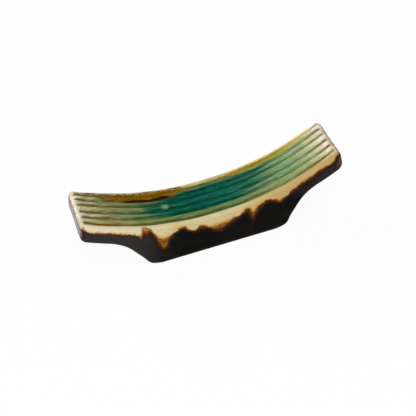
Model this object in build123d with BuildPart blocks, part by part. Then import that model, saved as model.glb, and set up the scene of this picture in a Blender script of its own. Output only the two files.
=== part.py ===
from build123d import *

import os
from math import radians, sqrt, tan

# Chopstick rest: an arched bar of stoneware on one solid foot, combed along its hollow top and glazed.
# The clay is a single piece. Over it lie the coats of glaze, each a skin with its own border: dark iron
# glaze on the walls, ends and underside, cream glaze over the saddle and down to a running line on both
# walls, amber glass along the far rim, a pool of green glass in the middle of the grooves, and the amber
# runs where the cream has crept furthest down. The origin is on the table under the middle of the foot,
# +X runs along the bar, +Z is up and the front wall is at -Y. Sizes are in millimetres, over the glaze.

# Bar and foot
length = 70.0  # over the lower corners of the two ends, before they are rounded
width = 14.6  # between the front and back walls
saddle_height = 11.0  # from the table to the rims, in the middle of the saddle
saddle_radius = 67.7  # curve of the top along its length
bar_thickness = 5.5  # of the arched bar, square to its curve
end_lean = 9.0  # degrees by which an end face leans out towards its lower corner
foot_length = 36.0  # over the lower corners of the foot, before they are rounded
foot_wall_angle = 57.0  # degrees between the table and the foot's sloping walls
flare_radius = 12.0  # hollow sweep from a foot wall into the underside of the bar
end_corner_radius = 2.5  # lower corner of an end
foot_corner_radius = 2.0
tip_radius = 1.3  # upper corner of an end
edge_bevel = 0.7  # along the outlines of the front and back walls

# Comb marks along the saddle
groove_count = 6
rim_width = 1.2  # from a wall to the floor of the outermost groove
groove_depth = 0.5  # below the ribs, in the glazed surface
groove_wall_angle = 50.0  # degrees between the sides of a groove and the ribs beside it

# Glaze
glaze = 0.45  # thickness of the coat on the walls and ribs
groove_fill = 0.25  # extra glaze that has settled in the grooves
bare_foot = 0.5  # height of the ring above the table that is wiped clean of glaze
end_line_margin = 0.3  # border of the cream glaze across the end faces, below the reach of the comb
end_line_place = 0.96  # where that border starts on the walls, as a share of the half length
border_fall = 7.2  # deepest drop of that border on the walls, below the reach of the comb
border_rounding = 0.45  # share of the shorter run beside a turn of a border that its arc takes up
amber_reach = 4.1  # amber glass, from the back wall in over the ribs, where it is widest
pool_depth = 0.15  # green glass over the ribs, in the middle
pool_length = 46.0  # between the points where the green runs out along the grooves
pool_margin = 0.6  # from the outermost grooves to the sides of the pool
run_thickness = 0.3  # amber runs, proud of the walls
run_bevel = 0.2  # along the outer edge of a run
run_length = 2.4  # from the neck of a run to the centre of its bead
neck_radius = 0.3
bead_radius = 0.9  # of the largest run

# Border of the cream glaze on each wall: share of the half length, share of the deepest drop, and the size
# of the bead where an amber run hangs from it, against the largest, or 0 where none does
front_line = (
    (-0.91, 0.28, 0), (-0.69, 0.21, 0), (-0.593, 0.51, 0), (-0.56, 0.03, 0), (-0.52, 0.03, 0), (-0.426, 1, 1),
    (-0.36, 0.36, 0), (-0.27, 0.1, 0), (-0.197, 0.37, 0), (-0.115, 0.18, 0), (0.005, 0.57, 0.8), (0.15, 0.24, 0),
    (0.237, 0.06, 0), (0.274, 0.58, 0.7), (0.32, 0.19, 0), (0.4, 0.07, 0), (0.48, 0.36, 0), (0.57, 0.33, 0),
    (0.66, 0.12, 0), (0.88, 0.06, 0),
)
back_line = (
    (-0.86, 0.17, 0), (-0.69, 0.3, 0), (-0.57, 0.12, 0), (-0.46, 0.43, 0), (-0.31, 0.17, 0), (-0.2, 0.62, 0.9),
    (-0.09, 0.21, 0), (0.09, 0.31, 0), (0.2, 0.15, 0), (0.34, 0.69, 1), (0.47, 0.19, 0), (0.63, 0.31, 0),
    (0.77, 0.12, 0), (0.885, 0.15, 0),
)
# Inner border of the amber glass, in plan: share of the half length, share of its reach from the back wall
amber_line = ((-0.86, -0.17), (-0.8, 0.46), (-0.57, 1), (-0.23, 0.85), (0, 0.44), (0.86, 0.34), (0.94, -0.17))

clear = 5.0  # how far the zones that divide the coat reach past the bar

saddle_centre = Vector(0, saddle_height + saddle_radius)
saddle_axis = Axis((0, 0, saddle_centre.Y), (0, 1, 0))
under_radius = saddle_radius + bar_thickness
rib_zone = width - 2 * rim_width
groove_pitch = rib_zone / (groove_count - 1)
comb_reach = glaze + groove_depth + groove_fill
clay_bevel = edge_bevel - glaze * (2 - sqrt(2))


def arc_point(along, radius):
    """Point of the lower side of an arc about the saddle's centre, in the side view."""
    return Vector(along, saddle_centre.Y - sqrt(radius**2 - along**2))


def meet_arc(start, heading, radius):
    """Where a line through start at a heading, in degrees, first meets an arc about the saddle's centre."""
    step = Vector(1, 0).rotate(Axis.Z, heading)
    arm = start - saddle_centre
    closest = -arm.dot(step)
    return start + step * (closest - sqrt(closest**2 - arm.length**2 + radius**2))


def mirrored(point):
    """A point of the side view on the right half of the bar, and the same point on the left half."""
    return (point, Vector(-point.X, point.Y))


def wall_point(share, drop):
    """Point of the side view at a share of the half length, dropped below the reach of the comb."""
    return arc_point(share * length / 2, saddle_radius + comb_reach + drop)


def plane_across(axis):
    """Upright plane across the bar, with its origin on an axis that crosses above the saddle."""
    return Plane(axis.position, x_dir=axis.direction, z_dir=(1, 0, 0))


def comb(inset, depth, teeth_count):
    """Row of teeth that leaves grooves of a depth, drawn out from the axis of the saddle."""
    floor_radius = saddle_radius + inset + depth
    tooth = depth + glaze
    half_tooth = tooth / tan(radians(groove_wall_angle))
    with BuildSketch(plane_across(saddle_axis)) as teeth:
        with GridLocations(groove_pitch, 0, teeth_count, 1):
            Polygon(
                (0, floor_radius),
                (-half_tooth, floor_radius - tooth),
                (half_tooth, floor_radius - tooth),
                align=None,
            )
    return teeth.sketch


def flowing_line(points):
    """Line along some points, with its turns rounded as far as the runs beside them allow."""
    radii = []
    for before, turn, after in zip(points, points[1:], points[2:]):
        way_in = turn - before
        way_out = after - turn
        run = min(way_in.length, way_out.length)
        radii.append(border_rounding * run / tan(radians(way_in.get_angle(way_out)) / 2))
    return FilletPolyline(points, radius=radii)


def combed_bar(inset, depth, bevel):
    """The bar and its foot with grooves of a depth and bevelled edges, drawn in all round by an inset."""
    end_heading = 90 + end_lean
    end_start = arc_point(length / 2, under_radius) + Vector(0, inset).rotate(Axis.Z, end_heading)
    tip = meet_arc(end_start, end_heading, saddle_radius + inset)
    corner = meet_arc(end_start, end_heading, under_radius - inset)
    wall_start = Vector(foot_length / 2, -glaze) + Vector(0, inset).rotate(Axis.Z, foot_wall_angle)
    hip = meet_arc(wall_start, foot_wall_angle, under_radius - inset)
    floor = inset - glaze
    heel = Vector(wall_start.X + (floor - wall_start.Y) / tan(radians(foot_wall_angle)), floor)
    roundings = (
        (hip, flare_radius + inset),
        (heel, foot_corner_radius - inset),
        (tip, tip_radius - inset),
        (corner, end_corner_radius - inset),
    )
    with BuildPart() as bar:
        with BuildSketch(Plane.XZ) as side:
            with BuildLine():
                ThreePointArc(mirrored(tip)[1], (0, saddle_height - inset), tip)
                Line(tip, corner)
                ThreePointArc(corner, arc_point((corner.X + hip.X) / 2, under_radius - inset), hip)
                Line(hip, heel)
                Line(*mirrored(heel))
                mirror(about=Plane.YZ)
            make_face()
            for point, radius in roundings:
                fillet([side.vertices().sort_by_distance(place)[0] for place in mirrored(point)], radius)
        extrude(amount=width / 2 - inset, both=True)
        chamfer(bar.faces().filter_by(Axis.Y).edges(), bevel)
        revolve(comb(inset, depth, groove_count), axis=saddle_axis, mode=Mode.SUBTRACT)
    return bar.part


# Fired surface of the whole rest, over all the coats but the pool and the runs
fired_form = combed_bar(0, groove_depth, edge_bevel)

# Its bevels are smaller, so that the coat is as thick over them as elsewhere
with BuildPart() as clay_body:
    add(combed_bar(glaze, groove_depth + groove_fill, clay_bevel))

# Coat between the clay and the fired surface, open under the foot
with BuildPart() as coat:
    add(fired_form)
    add(clay_body.part, mode=Mode.SUBTRACT)
    with Locations((0, 0, bare_foot)):
        Box(
            length + clear,
            width + clear,
            bare_foot + clear,
            align=(Align.CENTER, Align.CENTER, Align.MAX),
            mode=Mode.SUBTRACT,
        )

# Zone below the borders of the cream glaze on the front and back walls
with BuildPart() as skirt_zone:
    start, end = reversed(mirrored(wall_point(end_line_place, end_line_margin)))
    low = Vector(length / 2 + clear, -clear)
    for line, facing in ((front_line, 1), (back_line, -1)):
        with BuildSketch(Plane.XZ):
            with BuildLine():
                flowing_line([start, *[wall_point(share, fall * border_fall) for share, fall, bead in line], end])
                Polyline(end, (low.X, end.Y), low, mirrored(low)[1], (-low.X, end.Y), start)
            make_face()
        extrude(amount=facing * (width / 2 + clear))

# Zone of the amber glass, from above
with BuildPart() as amber_zone:
    with BuildSketch():
        with BuildLine():
            border = flowing_line(
                [Vector(share * length / 2, width / 2 - reach * amber_reach) for share, reach in amber_line]
            )
            Line(border @ 1, border @ 0)
        make_face()
    extrude(amount=arc_point(length / 2, saddle_radius).Y + clear)

with BuildPart() as iron_glaze_coat:
    add(coat.part)
    add(skirt_zone.part, mode=Mode.INTERSECT)

with BuildPart() as cream_glaze_coat:
    add(coat.part)
    add(skirt_zone.part, mode=Mode.SUBTRACT)
    add(amber_zone.part, mode=Mode.SUBTRACT)

with BuildPart() as amber_glaze_rim:
    add(coat.part)
    add(skirt_zone.part, mode=Mode.SUBTRACT)
    add(amber_zone.part, mode=Mode.INTERSECT)

# Pool: a ring that fills the saddle and its inner grooves, of which a waisted wheel leaves the lowest part
with BuildPart() as green_glaze_pool:
    pool_crest = saddle_height + pool_depth
    pool_end = arc_point(pool_length / 2, saddle_radius + groove_depth)
    pool_rise = pool_end.Y - pool_crest
    pool_radius = (pool_end.X**2 + pool_rise**2) / (2 * pool_rise)
    pool_axis = Axis((0, 0, pool_crest + pool_radius), (0, 1, 0))
    pool_width = rib_zone - 2 * pool_margin
    with BuildSketch(plane_across(saddle_axis)):
        with Locations((0, saddle_radius)):
            Rectangle(pool_width, bar_thickness, align=(Align.CENTER, Align.MAX))
    revolve(axis=saddle_axis)
    revolve(comb(0, groove_depth, groove_count - 2), axis=saddle_axis)
    with BuildSketch(plane_across(pool_axis)):
        with BuildLine():
            edge = Vector(rib_zone / 2, pool_radius + pool_depth)
            level = edge - Vector(groove_pitch, pool_depth)
            Polyline(mirrored(edge)[1], mirrored(level)[1], level, edge)
            Polyline(edge, (edge.X, 0), (-edge.X, 0), mirrored(edge)[1])
        make_face()
    revolve(axis=pool_axis, mode=Mode.SUBTRACT)

# Amber runs, each from a narrow neck to a bead that hangs on the border of the cream glaze
with BuildPart() as amber_glaze_runs:
    for line, facing in ((front_line, 1), (back_line, -1)):
        for share, fall, bead in line:
            if bead:
                radius = bead * bead_radius
                drop = fall * border_fall - radius
                with BuildSketch(Plane.XZ.offset(facing * width / 2)):
                    with Locations(wall_point(share, drop)):
                        Circle(radius)
                    with Locations(wall_point(share, drop - run_length)):
                        Circle(neck_radius)
                    make_hull()
                extrude(amount=facing * run_thickness)
    flat_sides = amber_glaze_runs.faces().filter_by(Axis.Y).group_by(Axis.Y)
    chamfer((flat_sides[0] + flat_sides[-1]).edges(), run_bevel)

os.makedirs("parts", exist_ok=True)
pieces = {
    "clay_body": clay_body,
    "iron_glaze_coat": iron_glaze_coat,
    "cream_glaze_coat": cream_glaze_coat,
    "amber_glaze_rim": amber_glaze_rim,
    "green_glaze_pool": green_glaze_pool,
    "amber_glaze_runs": amber_glaze_runs,
}
for name, piece in pieces.items():
    piece.part.label = name
    export_step(piece.part, f"parts/{name}.step")
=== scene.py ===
"""Looks of the glazed stoneware chopstick rest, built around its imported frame."""

import logging
import math
from abc import ABC, abstractmethod
from dataclasses import dataclass
from enum import Enum
from typing import Optional, Sequence, Union

import bpy
import numpy as np
from mathutils import Matrix, Vector
from mathutils.kdtree import KDTree


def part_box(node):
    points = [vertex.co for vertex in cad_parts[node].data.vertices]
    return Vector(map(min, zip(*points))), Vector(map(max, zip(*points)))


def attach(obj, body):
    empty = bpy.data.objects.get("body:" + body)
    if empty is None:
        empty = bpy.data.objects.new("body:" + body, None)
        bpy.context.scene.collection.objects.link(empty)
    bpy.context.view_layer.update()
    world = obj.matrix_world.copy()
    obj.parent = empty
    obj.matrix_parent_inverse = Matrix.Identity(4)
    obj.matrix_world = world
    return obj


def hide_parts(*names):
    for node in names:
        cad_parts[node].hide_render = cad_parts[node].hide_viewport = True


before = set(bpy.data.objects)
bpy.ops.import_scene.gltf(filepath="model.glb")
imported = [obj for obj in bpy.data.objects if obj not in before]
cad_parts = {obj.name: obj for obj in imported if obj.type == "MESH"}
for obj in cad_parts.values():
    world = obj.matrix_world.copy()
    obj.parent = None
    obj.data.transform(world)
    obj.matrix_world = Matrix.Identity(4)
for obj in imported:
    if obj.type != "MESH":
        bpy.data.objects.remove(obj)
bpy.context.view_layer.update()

log = logging.getLogger("chopstick_rest")

MM = 0.001
BODY = "root"
EVEN = (1.0, 1.0, 1.0)
# Points nearer to a cut than this, in the cut's own measure, count as inside it.
SNAP = 0.01
# Edges that turn by more degrees than this stay sharp.
SHARP_ANGLE = 50.0
# Shortest length that is divided by.
TINY = 1e-12

Array = np.ndarray
Colour = tuple[float, float, float, float]
Span = tuple[float, float]
Spot = tuple[float, float, float, float]
Knots = tuple[Span, ...]
Waves = tuple[tuple[float, float, float], ...]
Stops = Sequence[tuple[float, Colour]]
Socket = bpy.types.NodeSocket


class Side(Enum):
    """Walls of the bar, by the sign of Y on which they stand."""

    FRONT = -1
    BACK = 1


class Region(Enum):
    """Stretches of the side outline, in the order in which the outline runs round the bar."""

    SADDLE = 0
    RIGHT_END = 1
    UNDERSIDE = 2
    LEFT_END = 3
    WALL = 4


def tone(red: int, green: int, blue: int) -> Colour:
    """Linear colour of a display colour given in steps of 0 to 255.

    Args:
        red: Red step.
        green: Green step.
        blue: Blue step.

    Returns:
        The colour with full alpha.
    """
    steps = [value / 255 for value in (red, green, blue)]
    linear = [s / 12.92 if s <= 0.04045 else ((s + 0.055) / 1.055) ** 2.4 for s in steps]
    return (linear[0], linear[1], linear[2], 1.0)


def colour_row(*rows: tuple[float, int, int, int]) -> Stops:
    """Row of places and linear colours, from places and display colours."""
    return [(place, tone(*steps)) for place, *steps in rows]


def ease(low: float, high: float, value: Array) -> Array:
    """Smooth step of a value from 0 at low to 1 at high."""
    share = np.clip((value - low) / (high - low), 0, 1)
    return share * share * (3 - 2 * share)


def swell(along: Array, waves: Sequence[tuple[float, float, float]]) -> Array:
    """Sum of sine waves.

    Args:
        along: Places, in millimetres.
        waves: Height, wavelength and shift of each wave, in millimetres.

    Returns:
        Height at each place.
    """
    return sum(height * np.sin(2 * math.pi * (along + shift) / wave) for height, wave, shift in waves)


def flowing(knots: Knots, along: Array) -> Array:
    """Smooth curve through knots that never swings past them.

    Args:
        knots: Places and values, in order of place.
        along: Places to read the curve at.

    Returns:
        Value at each place.
    """
    x, y = np.array(knots, float).T
    run = np.diff(x)
    slope = np.diff(y) / run
    tangent = np.zeros_like(y)
    same_way = slope[:-1] * slope[1:] > 0
    weight_a = 2 * run[1:] + run[:-1]
    weight_b = run[1:] + 2 * run[:-1]
    safe = np.where(same_way, slope[:-1] * slope[1:], 1)
    mean = (weight_a + weight_b) * safe / (weight_a * slope[1:] + weight_b * slope[:-1] + (~same_way))
    tangent[1:-1] = np.where(same_way, mean, 0)
    tangent[0], tangent[-1] = slope[0], slope[-1]
    at = np.clip(np.searchsorted(x, along) - 1, 0, len(run) - 1)
    share = np.clip((along - x[at]) / run[at], 0, 1)
    square, cube = share**2, share**3
    value = (2 * cube - 3 * square + 1) * y[at] + (cube - 2 * square + share) * run[at] * tangent[at]
    return value + (3 * square - 2 * cube) * y[at + 1] + (cube - square) * run[at] * tangent[at + 1]


def unit(vectors: Array) -> Array:
    """Directions of vectors, one in each row."""
    return vectors / np.linalg.norm(vectors, axis=-1, keepdims=True)


def blot(x: Array, y: Array, spot: Sequence[float], core: float = 0.4, brim: float = 1.15) -> Array:
    """Round patch that fades outwards.

    Args:
        x: Places along the bar.
        y: Places across it, or heights.
        spot: Its centre and its two half sizes.
        core: Share of the half sizes within which it is whole.
        brim: Share of them at which it ends.

    Returns:
        Share of the patch, from 0 to 1.
    """
    reach = np.hypot((x - spot[0]) / spot[2], (y - spot[1]) / spot[3])
    return 1 - ease(core, brim, reach)


@dataclass
class Skin:
    """A surface of triangles with values at its points.

    Attributes:
        points: Places of the points, in millimetres.
        triangles: Point numbers of each triangle.
        fields: Named values, one for each point.
    """

    points: Array
    triangles: Array
    fields: dict[str, Array]

    def normals(self) -> Array:
        """Unit normals at the points.

        Returns:
            One normal for each point.
        """
        corners = self.points[self.triangles]
        across = np.cross(corners[:, 1] - corners[:, 0], corners[:, 2] - corners[:, 0])
        total = np.zeros_like(self.points)
        for corner in range(3):
            np.add.at(total, self.triangles[:, corner], across)
        return total / np.maximum(np.linalg.norm(total, axis=1, keepdims=True), TINY)

    def cut(self, keep: Array) -> "Skin":
        """The part of the surface where a value is positive, cut along its zero line.

        Args:
            keep: Value at each point.

        Returns:
            A new surface with the points on the zero line worked out along the edges.
        """
        level = np.where(np.abs(keep) < SNAP, SNAP, keep)
        inside = level[self.triangles] > 0
        count = inside.sum(1)
        kept = [self.triangles[count == 3]]
        new_pairs: list[Array] = []
        offset = len(self.points)
        for wanted in (1, 2):
            mixed = self.triangles[count == wanted]
            odd = np.argmax(inside[count == wanted] == (wanted == 1), axis=1)
            turned = np.take_along_axis(mixed, (odd[:, None] + np.arange(3)) % 3, 1)
            first = offset + np.arange(len(turned))
            second = first + len(turned)
            offset += 2 * len(turned)
            new_pairs += [turned[:, [0, 1]], turned[:, [0, 2]]]
            if wanted == 1:
                kept.append(np.stack([turned[:, 0], first, second], 1))
            else:
                kept.append(np.stack([first, turned[:, 1], turned[:, 2]], 1))
                kept.append(np.stack([first, turned[:, 2], second], 1))
        pairs = np.concatenate(new_pairs)
        first_level, last_level = level[pairs].T
        share = first_level / (first_level - last_level)
        triangles = np.concatenate(kept)
        ordered = np.sort(pairs, axis=1)
        unique, place = np.unique(ordered, axis=0, return_inverse=True)
        first_use = np.zeros(len(unique), int)
        first_use[place.ravel()] = np.arange(len(pairs))
        renumber = np.concatenate([np.arange(len(self.points)), len(self.points) + place.ravel()])
        triangles = renumber[triangles]
        start, end = pairs[first_use].T
        share = share[first_use]

        def blend(values: Array) -> Array:
            """Values at the old points, followed by those at the cut ones."""
            mix = share.reshape(-1, *([1] * (values.ndim - 1)))
            return np.concatenate([values, values[start] * (1 - mix) + values[end] * mix])

        used, packed = np.unique(triangles, return_inverse=True)
        fields = {name: blend(values)[used] for name, values in self.fields.items()}
        return Skin(blend(self.points)[used], packed.reshape(-1, 3), fields)

    def shell(self, lift: Array, depth: Array) -> "Skin":
        """Closed coat that lies along the surface.

        Args:
            lift: Height of its outer face over the surface, at each point.
            depth: Depth of its inner face below the surface, at each point.

        Returns:
            Outer face, inner face and the rim between them.
        """
        normals = self.normals()
        outer = self.points + normals * lift[:, None]
        inner = self.points - normals * depth[:, None]
        tri = self.triangles
        edges = np.concatenate([tri[:, [0, 1]], tri[:, [1, 2]], tri[:, [2, 0]]])
        count = len(self.points)
        forward = edges[:, 0].astype(np.int64) * count + edges[:, 1]
        backward = edges[:, 1].astype(np.int64) * count + edges[:, 0]
        tail, head = edges[~np.isin(forward, backward)].T
        upper = np.stack([head, tail, tail + count], 1)
        lower = np.stack([head, tail + count, head + count], 1)
        rim = np.concatenate([upper, lower])
        triangles = np.concatenate([tri, tri[:, ::-1] + count, rim])
        fields = {name: np.concatenate([values, values]) for name, values in self.fields.items()}
        return Skin(np.concatenate([outer, inner]), triangles, fields)

    def to_object(self, name: str) -> bpy.types.Object:
        """Blender object of the surface, with its values as attributes.

        Args:
            name: Name of the piece.

        Returns:
            The linked object.
        """
        mesh = bpy.data.meshes.new(name)
        mesh.vertices.add(len(self.points))
        mesh.vertices.foreach_set("co", (self.points * MM).astype(np.float32).ravel())
        mesh.loops.add(3 * len(self.triangles))
        mesh.loops.foreach_set("vertex_index", self.triangles.astype(np.int32).ravel())
        mesh.polygons.add(len(self.triangles))
        mesh.polygons.foreach_set("loop_start", np.arange(0, 3 * len(self.triangles), 3, dtype=np.int32))
        mesh.update(calc_edges=True)
        mesh.validate()
        for label, values in self.fields.items():
            layer = mesh.attributes.new(label, "FLOAT", "POINT")
            layer.data.foreach_set("value", values.astype(np.float32))
        mesh.shade_smooth()
        mesh.set_sharp_from_angle(angle=math.radians(SHARP_ANGLE))
        piece = bpy.data.objects.new(name, mesh)
        bpy.context.scene.collection.objects.link(piece)
        return piece


@dataclass(frozen=True)
class SideOutline:
    """Outline of the fired rest seen from the front, in millimetres.

    Lengths follow the frame. The outline is walked as four stretches: saddle, right end,
    underside, left end. Each short arc of it gets path_points points.
    """

    length: float = 70.0
    saddle_height: float = 11.0
    saddle_radius: float = 67.7
    bar_thickness: float = 5.5
    end_lean: float = 9.0
    foot_length: float = 36.0
    foot_wall_angle: float = 57.0
    flare_radius: float = 12.0
    end_corner_radius: float = 2.5
    foot_corner_radius: float = 5.0
    tip_radius: float = 1.3
    glaze: float = 0.45
    path_points: int = 400

    @property
    def centre(self) -> Array:
        """Centre of the saddle's arc."""
        return np.array([0.0, self.saddle_height + self.saddle_radius])

    @property
    def under_radius(self) -> float:
        """Radius of the underside of the bar."""
        return self.saddle_radius + self.bar_thickness

    @property
    def end_normal(self) -> Array:
        """Outward direction of the right end face."""
        lean = math.radians(self.end_lean)
        return np.array([math.cos(lean), math.sin(lean)])

    @property
    def foot_normal(self) -> Array:
        """Outward direction of the right foot wall."""
        angle = math.radians(self.foot_wall_angle)
        return np.array([math.sin(angle), -math.cos(angle)])

    def rounding_centre(self, on_line: Array, normal: Array, gap: float, reach: float) -> Array:
        """Centre of a rounding that touches a straight line and an arc about the saddle's centre.

        Args:
            on_line: A point of the line.
            normal: Unit normal of the line.
            gap: Distance of the centre from the line, along the normal.
            reach: Distance of the centre from the saddle's centre.

        Returns:
            The lower of the two places that fit.
        """
        start = on_line + normal * gap
        step = np.array([-normal[1], normal[0]])
        arm = start - self.centre
        half = float(arm @ step)
        root = math.sqrt(half * half - float(arm @ arm) + reach * reach)
        spots = [start + step * (-half + sign * root) for sign in (-1, 1)]
        return min(spots, key=lambda spot: spot[1])

    @property
    def low_corner(self) -> Array:
        """Sharp lower corner of the right end."""
        half = self.length / 2
        return np.array([half, self.centre[1] - math.sqrt(self.under_radius**2 - half**2)])

    @property
    def tip_centre(self) -> Array:
        """Centre of the rounding at the right tip."""
        reach = self.saddle_radius + self.tip_radius
        return self.rounding_centre(self.low_corner, self.end_normal, -self.tip_radius, reach)

    @property
    def corner_centre(self) -> Array:
        """Centre of the rounding at the right end's lower corner."""
        reach = self.under_radius - self.end_corner_radius
        return self.rounding_centre(self.low_corner, self.end_normal, -self.end_corner_radius, reach)

    @property
    def heel(self) -> Array:
        """Sharp lower corner of the foot on the right, where its glazed wall would meet the table."""
        angle = math.radians(self.foot_wall_angle)
        return np.array([self.foot_length / 2 + self.glaze / math.tan(angle), 0.0])

    @property
    def foot_centre(self) -> Array:
        """Centre of the rounding at the foot's lower corner on the right."""
        along = -self.foot_corner_radius * (1 + self.foot_normal[1]) / self.foot_normal[0]
        return self.heel + np.array([along, self.foot_corner_radius])

    @property
    def flare_centre(self) -> Array:
        """Centre of the hollow sweep between foot and bar on the right."""
        reach = self.under_radius + self.flare_radius
        return self.rounding_centre(self.heel, self.foot_normal, self.flare_radius, reach)

    def end_reach(self, z: Array) -> Array:
        """Distance of the end face from the middle of the bar, near the tip.

        Args:
            z: Heights over the table.

        Returns:
            Distance at each height.
        """
        lean = math.tan(math.radians(self.end_lean))
        face = self.low_corner[0] - (z - self.low_corner[1]) * lean
        over = np.clip((z - self.tip_centre[1]) / self.tip_radius, 0, 1)
        return np.minimum(face, self.tip_centre[0] + self.tip_radius * np.sqrt(1 - over**2))

    @staticmethod
    def arc(centre: Array, radius: float, start: Array, end: Array, count: int) -> Array:
        """Points of the shorter arc between two directions.

        Args:
            centre: Centre of the arc.
            radius: Its radius.
            start: Direction of its first point.
            end: Direction of its last point.
            count: How many points.

        Returns:
            The points in order.
        """
        first = math.atan2(start[1], start[0])
        turn = math.atan2(start[0] * end[1] - start[1] * end[0], float(start @ end))
        angles = first + turn * np.linspace(0, 1, count)
        return centre + radius * np.stack([np.cos(angles), np.sin(angles)], 1)

    @staticmethod
    def spread(path: Array, count: int) -> Array:
        """Points of a path at even distances.

        Args:
            path: Dense points of the path.
            count: How many points to return.

        Returns:
            The points, with both ends kept.
        """
        walked = np.concatenate([[0], np.cumsum(np.linalg.norm(np.diff(path, axis=0), axis=1))])
        wanted = np.linspace(0, walked[-1], count)
        return np.stack([np.interp(wanted, walked, path[:, axis]) for axis in range(2)], 1)

    def half_paths(self) -> tuple[Array, Array, Array]:
        """Dense points of the right half.

        Returns:
            The saddle from the middle to the tip, the end, and the underside to the middle,
            each starting where the one before it stops.
        """
        dense = self.path_points
        low = np.array([0.0, -1.0])
        up = unit(self.centre - self.tip_centre)
        down = unit(self.corner_centre - self.centre)
        to_flare = unit(self.flare_centre - self.centre)
        tip_turn = unit(up + self.end_normal)
        low_turn = unit(down + self.end_normal)
        saddle = np.concatenate([
            self.arc(self.centre, self.saddle_radius, low, -up, 4 * dense),
            self.arc(self.tip_centre, self.tip_radius, up, tip_turn, dense)[1:],
        ])
        end = np.concatenate([
            self.arc(self.tip_centre, self.tip_radius, tip_turn, self.end_normal, dense),
            self.arc(self.corner_centre, self.end_corner_radius, self.end_normal, low_turn, dense),
        ])
        under = np.concatenate([
            self.arc(self.corner_centre, self.end_corner_radius, low_turn, down, dense),
            self.arc(self.centre, self.under_radius, down, to_flare, 2 * dense),
            self.arc(self.flare_centre, self.flare_radius, -to_flare, -self.foot_normal, dense),
            self.arc(self.foot_centre, self.foot_corner_radius, self.foot_normal, low, dense),
            np.array([[0.0, self.heel[1]]]),
        ])
        return saddle, end, under

    def stations(self, columns: int, rows: int) -> tuple[Array, Array, Array]:
        """Points round the whole outline, clockwise from the left tip, with their outward normals.

        Args:
            columns: Steps along the saddle, and along the underside.
            rows: Steps down each end.

        Returns:
            Points, normals, and the number of the stretch that each point starts in.
        """
        saddle, end, under = self.half_paths()
        flip = np.array([-1.0, 1.0])
        saddle_line = self.spread(np.concatenate([(saddle * flip)[::-1], saddle[1:]]), columns + 1)
        end_line = self.spread(end, rows + 1)
        full_under = np.concatenate([under, (under * flip)[::-1][1:]])
        at_x = -saddle_line[:, 0] / saddle_line[0, 0] * under[0, 0]
        order = np.argsort(full_under[:, 0], kind="stable")
        under_z = np.interp(at_x, full_under[order, 0], full_under[order, 1])
        under_line = np.stack([at_x, under_z], 1)[::-1]
        lines = (saddle_line, end_line, under_line, (end_line * flip)[::-1])
        loop = np.concatenate([line[:-1] for line in lines])
        ahead = unit(np.roll(loop, -1, axis=0) - loop)
        tangent = unit(ahead + np.roll(ahead, 1, axis=0))
        normals = np.stack([-tangent[:, 1], tangent[:, 0]], 1)
        around = [region.value for region in Region if region is not Region.WALL]
        return loop, normals, np.repeat(around, [columns, rows, columns, rows])


@dataclass(frozen=True)
class CombMarks:
    """Grooves that a comb left along the saddle, in millimetres.

    Attributes:
        left_lines, right_lines: Places across the bar of the grooves' left and right ends.
        sag: Places along the bar, and how far the comb strayed there.
        back_stray, stray_drop: Share of the sag in the farthest groove, and how much less in each next one.
        waver: Small waves of the grooves, shifted once more for each groove.
        slimming: Places along the bar, and share of their width that the grooves keep there.
        groove_power: How flat the bottom of a groove is.
        half_rib, crown: Distance from a groove to the crest of a rib, and the crest's height.
        tip_share: Share of the depth that is left at the tips.
        tip_fade, stain_fade: Distances from a tip between which depth and colour set in.
        run_out: Distance down an end over which a groove runs out.
    """

    left_lines: tuple[float, ...] = (5.3, 3.35, 1.4, -1.35, -3.6, -5.85)
    right_lines: tuple[float, ...] = (6.4, 4.3, 2.2, -0.45, -2.85, -5.35)
    sag: Knots = (
        (-34.0, 0.3), (-25.0, 0.1), (-15.0, -0.5), (-4.0, -0.25), (9.0, -0.4), (20.0, -0.1), (34.0, 0.0),
    )
    back_stray: float = 1.2
    stray_drop: float = 0.2
    waver: Waves = ((0.07, 23.0, 3.0), (0.04, 11.0, 5.0))
    slimming: Knots = ((-34.0, 0.75), (-27.0, 0.95), (12.0, 1.0), (26.0, 0.73), (34.0, 0.66))
    depths: tuple[float, ...] = (0.18, 0.28, 0.26, 0.32, 0.28, 0.2)
    half_groove: float = 0.7
    groove_power: float = 1.6
    half_rib: float = 1.2
    crown: float = 0.08
    tip_share: float = 0.35
    tip_fade: Span = (0.5, 5.0)
    stain_fade: Span = (0.2, 1.2)
    run_out: float = 1.3

    def lines(self, x: Array, half_length: float) -> Array:
        """Places of the grooves across the bar.

        Args:
            x: Places along the bar.
            half_length: Half length of the bar.

        Returns:
            One row for each groove.
        """
        share = np.clip((x / half_length + 1) / 2, 0, 1)
        sag = flowing(self.sag, x)
        rows = []
        for number, (left, right) in enumerate(zip(self.left_lines, self.right_lines)):
            waver = swell(x, [(height, wave, shift * number) for height, wave, shift in self.waver])
            strayed = sag * (self.back_stray - self.stray_drop * number)
            rows.append(left + (right - left) * share + strayed + waver)
        return np.array(rows)

    def depth(self, x: Array, y: Array, half_length: float) -> Array:
        """Depth of the comb marks below the saddle.

        Args:
            x: Places along the bar.
            y: Places across it.
            half_length: Half length of the bar.

        Returns:
            Depth at each place.
        """
        away = np.abs(y[None, :] - self.lines(x, half_length))
        nearest = np.argmin(away, axis=0)
        gap = np.take_along_axis(away, nearest[None, :], 0)[0] / flowing(self.slimming, x)
        groove = np.exp(-((gap / self.half_groove) ** self.groove_power))
        shoulder = (1 - np.clip(gap / self.half_rib, 0, 1)) ** 2
        return np.array(self.depths)[nearest] * groove + self.crown * shoulder


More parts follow.
